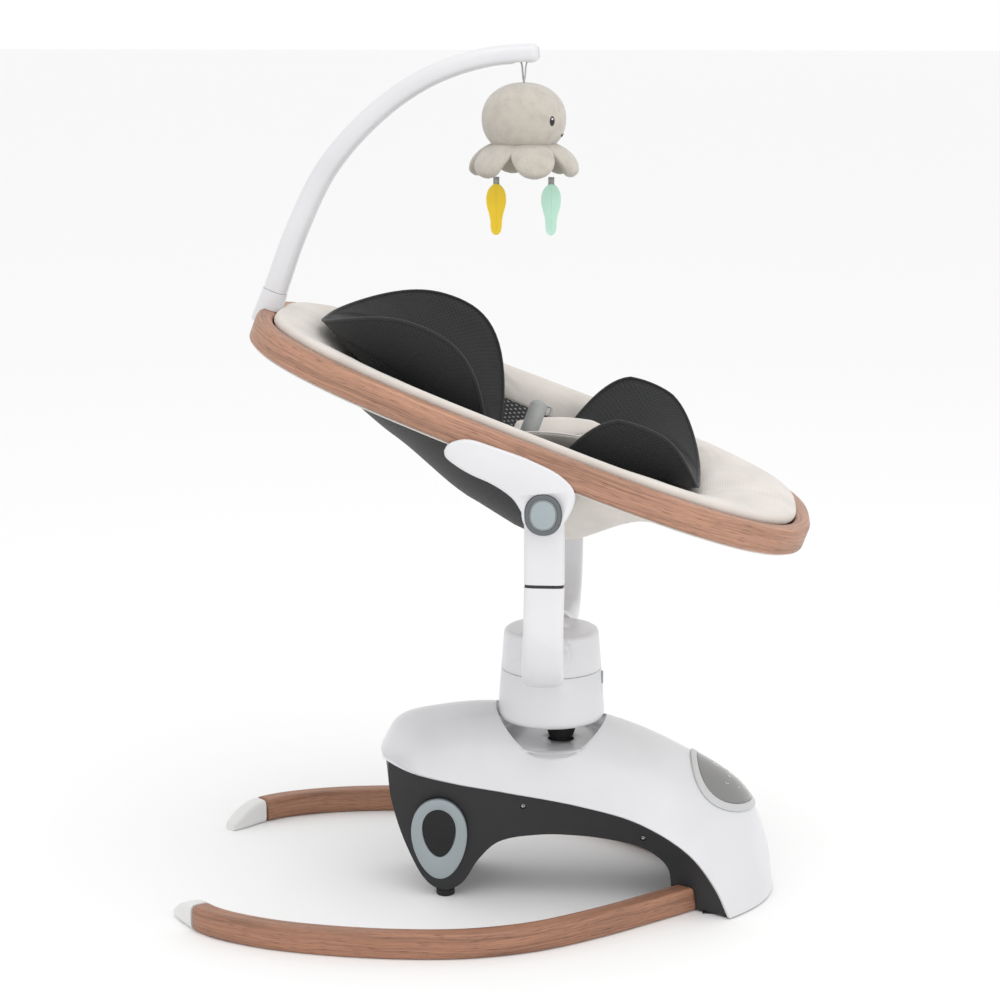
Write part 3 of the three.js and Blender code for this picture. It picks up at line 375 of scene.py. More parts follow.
stand_on(cover, housing_lift)
dish_across, dish_along, dish_floor = 0.0715, 0.067, 0.182
stem_y, stem_hole = column_y - 0.012, 0.016
dish_cutter = rod("dish_cutter", (0, 0, dish_floor), (0, 0, 0.3), dish_across, 128)
dish_cutter.data.transform(
    Matrix.Translation((0, column_y, 0)) @ Matrix.Diagonal((1, dish_along / dish_across, 1, 1)))
carve(cover, dish_cutter)
soften(cover, 0.0011)
below_surface = 0.0008
dish_rows = []
for across, lengthways, middle_y, height in [
    (dish_across, dish_along, column_y, None), (dish_across, dish_along, column_y, 0.1865),
    (0.0708, 0.0663, column_y, 0.1840), (0.0692, 0.0647, column_y, 0.1825),
    (0.067, 0.0625, column_y, dish_floor), (0.045, 0.042, column_y - 0.003, dish_floor),
    (0.028, 0.027, stem_y, dish_floor), (stem_hole + 0.0006, stem_hole + 0.0006, stem_y, dish_floor),
    (stem_hole, stem_hole, stem_y, dish_floor - 0.0006), (stem_hole, stem_hole, stem_y, dish_floor - 0.0024),
]:
    ring = []
    for a in round_angles(128):
        spot = Vector((across * cos(a), middle_y + lengthways * sin(a), height or 1))
        if not height:
            spot.z = cover_skin.ray_cast(spot, Vector((0, 0, -1)))[0].z - below_surface
        ring.append(spot)
    dish_rows.append(ring)
dish = skin("dish", dish_rows, closed=True)
face_from(dish, (0, column_y, -1))
thicken(dish, wall)
add_shape(cover, dish)
fit(cover, "base", "white_shell", white_plastic, "base_cover")

# ---- Housing: black lower shell ----
# A satin black moulding that tucks inside the cover's edge. It forms the rear leg, the arch
# and the nose, and it has a screw recess on each flank and a hole for the power inlet.

sill = [
    (0.7, 0.94, 0.79), (0.67, 0.91, 0.555), (0.63, 0.82, 0.275), (0.61, 0.7, 0.07), (0.61, 0.6, 0.027),
    (0.62, 0.5, 0.07), (0.64, 0.4, 0.21), (0.68, 0.28, 0.32), (0.72, 0.05, 0.373), (0.74, -0.15, 0.378),
    (0.74, -0.31, 0.355), (0.73, -0.44, 0.31), (0.72, -0.535, 0.21), (0.71, -0.555, 0.06),
    (0.72, -0.575, 0), (0.85, -0.685, 0), (1, -0.81, 0),
]
sill_line = housing_line(sill)
tuck_gap = 0.0012
shell_tuck = wall + tuck_gap
black_plastic = moulded("black_satin_plastic", (0.0185, 0.0195, 0.0215), 0.46, grain=0.00003, pitch=1100)


def shell_row(share, grow=0.0, count=48):
    """A row round the shell: up each flank and, where the row is at an end, over that end's wall."""
    top, foot = along(edge_line, share), along(sill_line, share)
    end = 2 * share - 1
    drop = 0.002 + (0.006 * end ** 4 if end < 0 else 0)
    dip = drop * end ** 10
    nose = end ** 10 * (along(crest_line, share).y - top.y)
    row = []
    for i in range(count + 1):
        place = 2 * i / count - 1
        climb = max(0, abs(place) - 0.5) * 2
        across = min(1, abs(place) * 2)
        half = foot.x * across + (top.x - foot.x * across) * climb
        bow = 1 - (half / top.x) ** 2
        row.append(Vector((
            math.copysign(half + (grow - shell_tuck) * across, place) if i != count // 2 else 0,
            foot.y + (top.y - foot.y) * climb + nose * bow + shell_tuck * end ** 9,
            max(housing_lift, foot.z - dip + (top.z - drop - foot.z + dip) * climb),
        )))
    return row


shell = skin("housing_shell", [shell_row(i / 112) for i in range(113)])
face_from(shell, (0, column_y - 0.02, 0.11))
shell_skin = surface_of(shell)
thicken(shell, wall)
stand_on(shell, housing_lift)
inlet_z = 0.0945
carve(shell, rod("inlet_hole", (0, column_y + 0.16, inlet_z), (0, column_y + 0.22, inlet_z), 0.0064, 32))
screw_depth = 0.0016
screw_spots, screw_ways = [], []
for side in (-1, 1):
    for y, z in ((-0.038, 0.123), (-0.180, 0.087)):
        spot, way, _, _ = shell_skin.ray_cast(Vector((side * 0.5, y, z)), Vector((-side, 0, 0)))
        carve(shell, rod("screw_recess", spot - way * 0.0018, spot + way * 0.01, 0.0036, 24))
        screw_spots.append(spot - way * screw_depth)
        screw_ways.append(way)
soften(shell, 0.0006)
fit(shell, "base", "black_shell", black_plastic, "base_shell")


def repeated(name, spots, ways, look, size, shape=None):
    """Geometry Nodes set one small shape on each spot, its Z axis along that spot's way. Without a
    shape of its own it is a bead of the given half sizes."""
    mesh = bpy.data.meshes.new(name)
    mesh.from_pydata(spots, [], [])
    marks = mesh.attributes.new("way", "FLOAT_VECTOR", "POINT")
    marks.data.foreach_set("vector", [v for way in ways for v in way])
    piece = bpy.data.objects.new(name, mesh)
    scene.collection.objects.link(piece)
    tree = bpy.data.node_groups.new(name, "GeometryNodeTree")
    tree.interface.new_socket("Spots", in_out="INPUT", socket_type="NodeSocketGeometry")
    half = tree.interface.new_socket("Half sizes", in_out="INPUT", socket_type="NodeSocketVector")
    tree.interface.new_socket("Pieces", in_out="OUTPUT", socket_type="NodeSocketGeometry")
    new, link = tree.nodes.new, tree.links.new
    start, end = new("NodeGroupInput"), new("NodeGroupOutput")
    place, turn = new("GeometryNodeInstanceOnPoints"), new("FunctionNodeAlignRotationToVector")
    way = new("GeometryNodeInputNamedAttribute")
    way.data_type = "FLOAT_VECTOR"
    way.inputs["Name"].default_value = "way"
    turn.axis = "Z"
    link(way.outputs["Attribute"], turn.inputs["Vector"])
    link(turn.outputs["Rotation"], place.inputs["Rotation"])
    link(start.outputs["Spots"], place.inputs["Points"])
    link(start.outputs["Half sizes"], place.inputs["Scale"])
    if shape:
        source = new("GeometryNodeObjectInfo")
        source.inputs["Object"].default_value = shape
        link(source.outputs["Geometry"], place.inputs["Instance"])
    else:
        bead = new("GeometryNodeMeshUVSphere")
        for key, value in (("Segments", 8), ("Rings", 4), ("Radius", 1)):
            bead.inputs[key].default_value = value
        link(bead.outputs["Mesh"], place.inputs["Instance"])
    real, finish = new("GeometryNodeRealizeInstances"), new("GeometryNodeSetMaterial")
    finish.inputs["Material"].default_value = look
    link(place.outputs["Instances"], real.inputs["Geometry"])
    link(real.outputs["Geometry"], finish.inputs["Geometry"])
    link(finish.outputs["Geometry"], end.inputs["Pieces"])
    maker = piece.modifiers.new("repeat", "NODES")
    maker.node_group = tree
    maker[half.identifier] = size
    bake(piece)
    piece.data.shade_smooth()
    return piece


def brushed(name, color, roughness):
    """Bare metal with fine drawn scratches along one way."""
    look, tree, shader = blank(name, roughness, metallic=1.0)
    place = add(tree, "Mapping", {"Vector": add(tree, "TexCoord", out=3), "Scale": (60, 1200, 1200)})
    scratch = noise(tree, place, 1.0, 4.0)
    shade = blend_colors(tree, scratch, [(0.3, tinted(color, 0.8)), (0.7, color)])
    paint(tree, shader, shade)
    relief(tree, shader, scratch, 0.00003)
    return look


steel = brushed("zinc_plated_steel", (0.5, 0.51, 0.52), 0.32)
screw_head = rod("screw_head", (0, 0, -0.0004), (0, 0, 0.0006), 0.0029, 20)
for turn in (0, pi / 2):
    slot = rod("slot", (0, 0, 0.0001), (0, 0, 0.001), 1, 4)
    flat = Matrix.Diagonal((0.0022, 0.0004, 1, 1)) @ Matrix.Rotation(pi / 4, 4, "Z")
    slot.data.transform(Matrix.Rotation(turn, 4, "Z") @ flat)
    carve(screw_head, slot)
flank_screws = repeated("flank_screws", screw_spots, screw_ways, steel, (1, 1, 1), screw_head)
bpy.data.objects.remove(screw_head)
fit(flank_screws, "base", "steel", steel)

# ---- Speaker ----
# An egg-shaped grey frame and a black perforated grille, both on the right flank of the rear
# leg, leaning with its wall.

trim_plastic = moulded("blue_grey_plastic", (0.33, 0.38, 0.4), 0.42)
dark_plastic = moulded("dark_grey_plastic", (0.115, 0.125, 0.13), 0.45)
speaker_half, speaker_lift = (0.033, 0.052), 0.008
speaker_depth, grille_depth = 0.006, 0.0052
flank_lean = math.atan(0.14)
speaker_place = (
    Matrix.Translation(Vector((
        -0.5 * (along(edge_line, 0.22).x + along(sill_line, 0.24).x),
        column_y + 0.62 * housing_rear, 0.35 * housing_height,
    )))
    @ Matrix.Rotation(-flank_lean, 4, "Y")
    @ Matrix(((0, 0, -1, 0), (-1, 0, 0, 0), (0, 1, 0, 0), (0, 0, 0, 1)))
)
outermost = speaker_place @ Vector((0, speaker_half[1], speaker_depth))
speaker_place.translation.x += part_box("speaker_ring")[0].x - outermost.x


def egg(across, up):
    return [
        Vector((across * cos(a) * (1 + 0.16 * sin(a)), up * sin(a), 0)) for a in round_angles(96)
    ]


def inset(outline, width):
    """The outline moved inwards by a width."""
    moved = []
    for i, point in enumerate(outline):
        run = outline[(i + 1) % len(outline)] - outline[i - 1]
        moved.append(point - Vector((run.y, -run.x, 0)).normalized() * width)
    return moved


def slab(name, outline, low, high, edge, hole=None):
    """A flat plate with a rounded upper edge, from an anticlockwise outline; hole is a second outline."""
    def at(line, height):
        return [Vector((p.x, p.y, height)) for p in line]
    outer = [
        at(outline, low), at(outline, high - edge), at(inset(outline, 0.3 * edge), high - 0.3 * edge),
        at(inset(outline, edge), high),
    ]
    if not hole:
        return solid(name, outer)
    inner = [
        at(inset(hole, -edge), high), at(inset(hole, -0.3 * edge), high - 0.3 * edge),
        at(hole, high - edge), at(hole, low),
    ]
    return skin(name, outer + inner, closed=True, ring=True)


lifted = [p + Vector((0, speaker_lift, 0)) for p in egg(speaker_half[0] * 0.6, speaker_half[1] * 0.6)]
speaker_ring = slab("speaker_frame", egg(*speaker_half), 0.0, speaker_depth, 0.0012, lifted)
speaker_ring.data.transform(speaker_place)
fit(speaker_ring, "base", "grey_trim", trim_plastic, "speaker_ring")

black_rubber = moulded("black_rubber", (0.012, 0.012, 0.013), 0.75, grain=0.00004, pitch=700)
grille = slab("speaker_grille", inset(lifted, gap), 0.0, grille_depth, 0.0006)
grille.data.transform(speaker_place)
fit(grille, "base", "rubber", black_rubber, "speaker_grille")
# The grille is not cut through: flat near-black beads sit where its holes are, painted shade for the dark
# openings.
hole_shade_look = moulded("grille_holes_painted_shade", (0.003, 0.003, 0.003), 0.6)
hole_pitch = 0.0031
hole_spots = []
for row in range(-12, 13):
    for column in range(-9, 10):
        x, y = (column + 0.5 * (row % 2)) * hole_pitch, row * hole_pitch * 0.866
        if (x / (0.0168 * (1 + 0.16 * y / 0.028))) ** 2 + (y / 0.0278) ** 2 < 1:
            hole_spots.append(speaker_place @ Vector((x, y + speaker_lift, grille_depth)))
outward = speaker_place.to_3x3() @ Vector((0, 0, 1))
hole_half = (0.0009, 0.0009, 0.00012)
grille_holes = repeated("grille_holes", hole_spots, [outward] * len(hole_spots), hole_shade_look, hole_half)
fit(grille_holes, "base", "rubber", hole_shade_look)

# ---- Control panel ----
# A light grey frame and a smoked touch panel, both following the nose's curve. The marks on the
# panel are plain printed signs: power, less, more, three levels, two arrows and a ring.

panel_middle = along(crest_line, 0.7)
panel_slope = (along(crest_line, 0.705) - along(crest_line, 0.695)).normalized()
panel_out = Vector((1, 0, 0)).cross(panel_slope).normalized()
if panel_out.z < 0:
    panel_out = -panel_out
panel_half = (0.058, 0.050)


def on_panel(across, down, lift):
    """A place over the nose, measured from the panel's middle."""
    start = panel_middle + Vector((across, 0, 0)) + panel_slope * down
    spot, way, _, _ = cover_skin.ray_cast(start + panel_out * 0.1, -panel_out)
    return spot + way * lift


def panel_rows(steps):
    """Rings round the panel's middle, each an inset from its edge and a lift off the nose."""
    return [
        [
            on_panel((panel_half[0] - inner) * cos(a), (panel_half[1] - inner) * sin(a), lift)
            for a in round_angles(112)
        ]
        for inner, lift in steps
    ]


bezel = skin("panel_frame", panel_rows([
    (0, 0.0004), (0, 0.0018), (0.0003, 0.0023), (0.0009, 0.0026), (0.0071, 0.0026), (0.0077, 0.0023),
    (0.008, 0.0018), (0.008, 0.0004),
]), closed=True, ring=True)
bezel_plastic = moulded("light_grey_plastic", (0.56, 0.57, 0.57), 0.4)
fit(bezel, "base", "grey_trim", bezel_plastic, "panel_bezel")
touch_lift = 0.0022
touch = solid("touch_panel_smoked", panel_rows([
    (0.0084, 0.0006), (0.0084, 0.0018), (0.0087, 0.0021),
    *((inner, touch_lift) for inner in (0.0094, 0.016, 0.026, 0.036, 0.046, 0.0492)),
]))
smoked = moulded("smoked_touch_panel", (0.2, 0.2, 0.195), 0.18, coat=0.6, grain=0.000004)
fit(touch, "base", "touch_glass", smoked, "touch_panel")


def stroke(points):
    """A printed line, through places measured from the panel's middle."""
    half, under, over = 0.0004, touch_lift - 0.0002, touch_lift + 0.00008
    rows = []
    for i, (x, y) in enumerate(points):
        (x0, y0), (x1, y1) = points[max(i - 1, 0)], points[min(i + 1, len(points) - 1)]
        reach = math.hypot(x1 - x0, y1 - y0)
        sx, sy = -(y1 - y0) / reach * half, (x1 - x0) / reach * half
        rows.append([
            on_panel(x + turn * sx, y + turn * sy, lift)
            for turn, lift in ((-1, under), (-1, over), (1, over), (1, under))
        ])
    return solid("touch_marks", rows)


def arc(x, y, radius, start=0, end=350):
    angles = [radians(start + (end - start) * i / 18) for i in range(19)]
    return [(x + radius * sin(a), y - radius * cos(a)) for a in angles]


def merged(pieces):
    """The first piece, with the other closed shapes moved into its mesh."""
    for other in pieces[1:]:
        add_shape(pieces[0], other)
    return pieces[0]


strokes = [
    arc(0, 0.027, 0.0042, 35, 325), [(0, 0.0215), (0, 0.0265)],
    [(-0.018, 0.020), (-0.013, 0.020)],
    [(0.013, 0.020), (0.018, 0.020)], [(0.0155, 0.0175), (0.0155, 0.0225)],
    [(-0.024, 0.001), (-0.0265, 0.0035), (-0.024, 0.006)],
    [(0.024, 0.001), (0.0265, 0.0035), (0.024, 0.006)],
    arc(-0.009, 0.004, 0.0012), arc(0, 0.004, 0.0012), arc(0.009, 0.004, 0.0012), arc(0, -0.016, 0.0035),
]
marks = merged([stroke(line) for line in strokes])
mark_print = moulded("pale_print", (0.72, 0.72, 0.7), 0.5)
fit(marks, "base", "touch_glass", mark_print)

# ---- Works inside the housing, inlet and feet ----
# A steel chassis carries two bearing blocks and a copper coil that pushes the magnet on the
# stem. The round foot under each rear leg is black rubber, and so are the pads under the nose.

copper, copper_tree, copper_shader = blank("enamelled_copper", 0.35, metallic=1.0)
coil_low, coil_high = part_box("drive_coil")
coil_place = add(copper_tree, "Mapping", {
    "Vector": add(copper_tree, "TexCoord", out=3), "Location": -(coil_low + coil_high) / 2})
winding = add(copper_tree, "TexWave", {
    "Vector": coil_place, "Scale": 450.0}, out=1, wave_type="RINGS", rings_direction="Z")
copper_shades = [(0, (0.25, 0.07, 0.02)), (0.6, (0.6, 0.22, 0.08))]
paint(copper_tree, copper_shader, blend_colors(copper_tree, winding, copper_shades))
relief(copper_tree, copper_shader, winding, 0.0002)
board, board_tree, board_shader = blank("green_circuit_board", 0.4, coat=0.3)
board_place = add(board_tree, "Mapping", {
    "Vector": add(board_tree, "TexCoord", out=3), "Scale": (180, 180, 180)})
tracks = add(board_tree, "TexBrick", {"Vector": board_place, "Scale": 1.0, "Mortar Size": 0.06}, out=1)
board_shades = [(0, (0.02, 0.13, 0.05)), (1, (0.2, 0.3, 0.1))]
paint(board_tree, board_shader, blend_colors(board_tree, tracks, board_shades))
relief(board_tree, board_shader, tracks, 0.0001)
dress(copper, "drive_coil")
dress(board, "control_board")
dress(steel, "speaker_driver", "chassis_plate", "drive_magnet", "swing_axle", "centring_spring")
dress(steel, "leg_bolt_right", "leg_bolt_left", "hinge_pin_right", "hinge_pin_left")
dress(black_rubber, "dc_inlet", "bearing_front", "bearing_rear", "swing_stem")
dress(black_rubber, "front_pad_right", "front_pad_left")
dress(dark_plastic, "turntable_ring")


def turned(name, middle, profile, count=96):
    """A closed solid turned round an upright axis, from (radius, height) pairs."""
    x, y = middle
    return solid(name, [
        [Vector((x + r * cos(a), y + r * sin(a), z)) for a in round_angles(count)] for r, z in profile
    ])


for name in ("right", "left"):
    low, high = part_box("rear_foot_" + name)
    middle = (low + high) / 2
    foot = turned("rear_foot_rubber_" + name, (middle.x, middle.y), [
        (0.0095, 0), (0.0107, 0.0008), (0.011, 0.002), (0.011, high.z),
    ])
    soften(foot, 0.0003, 60)
    fit(foot, "base", "rubber", black_rubber, "rear_foot_" + name)

# ---- Floor legs ----
# Two bent laminated wood legs, oiled, each bolted to the nose and closed by a white end cap.
# The grain follows the bend, with dark pores.

leg_span, leg_reach, leg_height, leg_width = 0.264, 0.430, 0.030, 0.025
leg_plan = [
    (0.26, -0.43), (0.46, -0.3), (0.68, -0.15), (0.865, 0.01), (0.97, 0.18), (1, 0.36), (0.98, 0.56),
    (0.92, 0.73), (0.8, 0.88), (0.58, 0.995),
]
leg_tip_length, leg_run = 0.058, 0.760
leg_tip_start = 1 - leg_tip_length / leg_run


def mean(tree, one, other):
    both = add(tree, "Math", {0: one, 1: other}, operation="ADD")
    return add(tree, "Math", {0: both, 1: 0.5}, operation="MULTIPLY")


def stretched(tree, place, scale):
    return add(tree, "Mapping", {"Vector": place, "Scale": scale})


def oiled_wood(name, light, dark):
    """Straight-grained oiled wood. The pattern follows the piece's own run map, in metres."""
    look, tree, shader = blank(name, 0.5, coat=0.08)
    run = add(tree, "UVMap", uv_map="run")
    wander = noise(tree, run, 5.0, 2.0)
    shift = add(tree, "MapRange", {"Value": wander, "To Min": -0.012, "To Max": 0.012})
    grain = add(tree, "VectorMath", {0: run, 1: add(tree, "CombineXYZ", {"Y": shift})}, operation="ADD")
    broad = noise(tree, stretched(tree, grain, (3, 60, 1)), 1.0, 3.0)
    streak = noise(tree, stretched(tree, grain, (9, 420, 1)), 1.0, 4.0)
    pores = noise(tree, stretched(tree, grain, (55, 1300, 1)), 1.0, 2.0)
    body = blend_colors(tree, mean(tree, broad, streak), [
        (0.32, dark), (0.45, tinted(light, 0.78)), (0.54, light), (0.66, tinted(light, 1.22))])
    deep = blend_colors(tree, pores, [(0.33, (0.35, 0.3, 0.27)), (0.43, (1, 1, 1))])
    shade = add(tree, "MixRGB", {"Fac": 0.75, "Color1": body, "Color2": deep}, blend_type="MULTIPLY")
    paint(tree, shader, shade)
    gloss = add(tree, "MapRange", {"Value": streak, "To Min": 0.42, "To Max": 0.62})
    tree.links.new(gloss, shader.inputs["Roughness"])
    relief(tree, shader, deep, 0.00008, 0.7)
    return look


def evenly(points, count):
    """Places spread evenly on the smooth curve through the points, and the curve's way at each."""
    steps = 500
    fine = [along(points, i / steps) for i in range(steps + 1)]
    reach = np.cumsum([0, *((b - a).length for a, b in zip(fine, fine[1:]))])
    shares = np.interp(np.linspace(0, reach[-1], count + 1), reach, np.linspace(0, 1, steps + 1))
    spots = [along(points, share) for share in shares]
    ways = [(spots[min(i + 1, count)] - spots[max(i - 1, 0)]).normalized() for i in range(count + 1)]
    return spots, ways


def oval(half_width, half_height, power, count):
    """Points round an oval; a power over 2 squares it off."""
    def reach(value):
        return math.copysign(abs(value) ** (2 / power), value)
    angles = [(i + 0.5) * 2 * pi / count for i in range(count)]
    return [(half_width * reach(cos(a)), half_height * reach(sin(a))) for a in angles]


leg_wood = oiled_wood("leg_wood", (0.37, 0.18, 0.108), (0.14, 0.062, 0.04))
cap_plastic = moulded("cap_white_plastic", (0.74, 0.74, 0.73), 0.42)
for name, side in (("right", -1), ("left", 1)):
    line = [Vector((side * x * leg_span, column_y + y * leg_reach, 0)) for x, y in leg_plan]
    spots, ways = evenly(line, 160)
    rows, tip_rows = [], []
    for i, (spot, way) in enumerate(zip(spots, ways)):
        out = way.cross(Vector((0, 0, 1)))
        share = i / 160
        t = max(0, (share - leg_tip_start) / (1 - leg_tip_start))
        high, wide = leg_height / 2 * (1 - 0.72 * t * t), leg_width / 2 * (1 - 0.35 * t ** 4)
        row = [spot + Vector((0, 0, high + p)) + out * q for p, q in oval(high, wide, 5, 40)]
        (rows if share <= leg_tip_start else tip_rows).append(row)
    leg = solid("floor_leg_wood_" + name, rows)
    block = solid("housing_block", [shell_row(i / 56, 2 * gap) for i in range(1, 56)])
    carve(leg, block)
    fit(leg, "base", "wood", leg_wood, "floor_leg_" + name)
    tip = solid("leg_cap_" + name, tip_rows)
    soften(tip, 0.0008)
    fit(tip, "base", "white_shell", cap_plastic, "leg_tip_" + name)

# ---- Column cup and seat lock ----
# Two white mouldings meet at a thin seam. The upper one turns on a ring inside it, and the
# small grey button in front of the lower one frees it.

cup_bottom, cup_seam, cup_top = 0.208, 0.271, 0.320
cup_low_radius, cup_high_radius = 0.065, 0.0565
seam_half = 0.0003
cup_middle = (0, column_y)


def cup_radius(height):
    taper = cup_high_radius - cup_low_radius
    return cup_low_radius + taper * (height - cup_bottom) / (cup_top - cup_bottom)


def cup_wall(*heights):
    return [(cup_radius(height), height) for height in heights]


def seam_lip(height):
    """The cup's chamfered lip at the seam, from its inside to its outside."""
    return [(cup_radius(cup_seam) - 0.003, height), (cup_radius(cup_seam) - 0.0006, height)]


lower_cup = turned("cup_lower", cup_middle, [
    (0.002, cup_bottom + 0.003), (0.002, cup_bottom), (0.052, cup_bottom), (0.0575, cup_bottom + 0.0006),
    (0.0615, cup_bottom + 0.0026), (0.0638, cup_bottom + 0.0062), *cup_wall(0.219, 0.24, cup_seam - 0.001),
    *seam_lip(cup_seam - seam_half)[::-1], (cup_radius(0.219) - 0.003, 0.219), (0.052, cup_bottom + 0.003),
])
button_z, button_proud = cup_seam - 0.012, 0.0015
lock_face = column_y - cup_radius(button_z) - button_proud
button_from, button_to = Vector((0, lock_face - 0.01, button_z)), Vector((0, lock_face + 0.02, button_z))
carve(lower_cup, rod("button_hole", button_from, button_to, 0.0082, 40))
carve(lower_cup, rod("stem_hole", (0, stem_y, 0.2), (0, stem_y, 0.22), 0.0124, 64))
fit(lower_cup, "rocker", "white_shell", white_plastic, "lower_cup")
upper_cup = turned("cup_upper", cup_middle, [
    *seam_lip(cup_seam + seam_half), *cup_wall(cup_seam + 0.001, 0.29, 0.3125),
    (0.0568, 0.3152), (0.0553, 0.3178), (0.0528, 0.3194), (0.0485, 0.320), (0.03, 0.3202), (0.002, 0.3202),
    (0.002, 0.317), (0.0485, 0.317), (0.054, 0.312),
])
fit(upper_cup, "fork", "white_shell", white_plastic, "upper_cup")
button_outline = [Vector((x, y, 0)) for x, y in oval(0.006, 0.008, 2.4, 48)]
lock_button = slab("lock_button_cap", button_outline, -0.011, 0.0, 0.0011)
lock_button.data.transform(Matrix.Translation((0, lock_face, button_z)) @ Matrix.Rotation(pi / 2, 4, "X"))
fit(lock_button, "lock_button", "grey_trim", trim_plastic, "seat_lock_button")

# ---- Fork arms ----
# Two curved white arms rise from round bosses on the cup to a thin black band, and each
# upper arm ends in a flat cheek round the recline hinge.

arm_x, arm_half, arm_thick, band_z = 0.2, 0.0225, 0.020, 0.416
hinge_y, hinge_z = column_y - hinge_set_back, 0.502
boss_z, boss_radius = (cup_seam + cup_top) / 2 + 0.004, 0.027
boss_start = cup_radius(boss_z)
span, rise = arm_x - boss_start, band_z - boss_z
arm_steps = 72


def hinge_rod(name, near, far, radius, sides=96):
    """A rod on the recline hinge's line, between two distances from the middle of the swing."""
    return rod(name, (near, hinge_y, hinge_z), (far, hinge_y, hinge_z), radius, sides)


for name, side in (("right", -1), ("left", 1)):
    path = [
        Vector((side * (boss_start + out), y, z)) for out, y, z in (
            (-0.006, column_y, boss_z), (0.4 * span, column_y, boss_z),
            (0.8 * span, column_y - 0.0015, boss_z + 0.07 * rise),
            (0.98 * span, column_y - 0.0035, boss_z + 0.42 * rise),
        )
    ] + [Vector((side * arm_x, hinge_y, band_z))]
    rows = []
    for i, (spot, way) in enumerate(zip(*evenly(path, arm_steps))):
        level = max(0, 1 - i / 58)
        wide, thick = arm_half + 0.0032 * level, arm_thick / 2 + 0.009 * level
        out = way.cross(Vector((0, 1, 0))).normalized()
        if i == arm_steps:
            out = Vector((math.copysign(1, out.x), 0, 0))
        section = oval(wide, thick, 4.2 - 1.9 * level ** 0.6, 56)
        rows.append([spot + Vector((0, p, 0)) + out * q for p, q in section])
    lower = solid("arm_lower_" + name, rows)
    boss = turned("boss", (0, 0), [
        (boss_radius, -0.014), (boss_radius, 0.0125), (boss_radius - 0.0006, 0.0145),
        (boss_radius - 0.002, 0.0157), (boss_radius - 0.0045, 0.016),
    ])
    boss.data.transform(
        Matrix.Translation((side * boss_start, column_y, boss_z)) @ Matrix.Rotation(side * pi / 2, 4, "Y"))
    carve(lower, boss, "UNION")
    carve(lower, turned("cup_inside", cup_middle, [(cup_radius(z) + gap, z) for z in (0.25, 0.34)]))
    soften(lower, 0.0009, 50)
    fit(lower, "fork", "white_shell", white_plastic, "lower_arm_" + name)

    post_low = band_z + 0.0034
    post = solid("arm_upper_" + name, [
        [
            Vector((side * arm_x + q, hinge_y + p, z))
            for p, q in oval(arm_half - trim, arm_thick / 2 - trim, 4.2, 56)
        ]
        for z, trim in ((post_low, 0.0006), (post_low + 0.0006, 0), (0.44, 0), (0.47, 0), (hinge_z, 0))
    ])
    carve(post, hinge_rod("cheek", side * 0.188, side * 0.198, arm_half), "UNION")
    carve(post, hinge_rod("seat_side", side * 0.198, side * 0.23, 0.0248))
    carve(post, hinge_rod("pin_hole", side * 0.17, side * 0.23, 0.0064, 32))
    soften(post, 0.0009, 50)
    fit(post, "fork", "white_shell", white_plastic, "upper_arm_" + name)
dress(black_plastic, "arm_band_right", "arm_band_left")

# ---- Seat rim ----
# One ring of laminated wood, bent to shape, rounded on all edges and oiled. It is a little
# wider at the foot end, and everything soft hangs inside it.

seat_pitch = radians(20.5)
pitch_turn = Matrix.Rotation(seat_pitch, 4, "X")
hinge_spot = Vector((-0.050, -0.067, 0))
seat_place = Matrix.Translation(
    Vector((0, hinge_y, hinge_z)) - pitch_turn.to_3x3() @ Vector((0, *hinge_spot[:2]))) @ pitch_turn
rim_length, rim_half, rim_height, rim_thick = 0.346, 0.220, 0.031, 0.020
rim_power, rim_flare = 2.9, 0.056


def powered(value):
    return math.copysign(abs(value) ** (2 / rim_power), value)


def rim_point(angle, inside, z=0.0):
    """A place in the seat's own frame, on the rim's outline moved inwards."""
    y = (rim_length - inside) * powered(sin(angle))
    return Vector(((rim_half - inside) * powered(cos(angle)) * (1 - rim_flare * y / rim_length), y, z))


def rim_angles(count):
    """Angles that lie evenly spaced round the rim."""
    fine = np.linspace(0, 2 * pi, 12001)
    spots = np.array([rim_point(a, 0)[:2] for a in fine])
    reach = np.concatenate(([0], np.cumsum(np.hypot(*np.diff(spots, axis=0).T))))
    return [float(a) for a in np.interp(np.linspace(0, reach[-1], count + 1)[:-1], reach, fine)]


def rounded_section(low, high, top, bottom, radius, count=5):
    """Corners of a rounded box section, as (inset, height)."""
    points = []
    for x, z, start in (
        (high - radius, top - radius, 0), (low + radius, top - radius, 90),
        (low + radius, bottom + radius, 180), (high - radius, bottom + radius, 270),
    ):
        for i in range(count + 1):
            a = radians(start + 90 * i / count)
            points.append((x + radius * cos(a), z + radius * sin(a)))
    return points


def in_seat(piece):
    piece.data.transform(seat_place)
    return piece


rim_wood = oiled_wood("rim_wood", (0.44, 0.232, 0.15), (0.17, 0.078, 0.05))
rim_section = rounded_section(0, rim_thick, 0, -rim_height, 0.0052)
rim = in_seat(skin("wood_rim", [
    [rim_point(a, inside, z) for inside, z in rim_section] for a in rim_angles(300)
], closed=True, ring=True))
fit(rim, "seat", "wood", rim_wood, "seat_rim")

# ---- Side brackets, knobs and recline buttons ----
# Each white bracket laps over the outside of the wood rim and comes down to the hinge. A dark
# ring and a light button, which frees the recline, sit on its face.

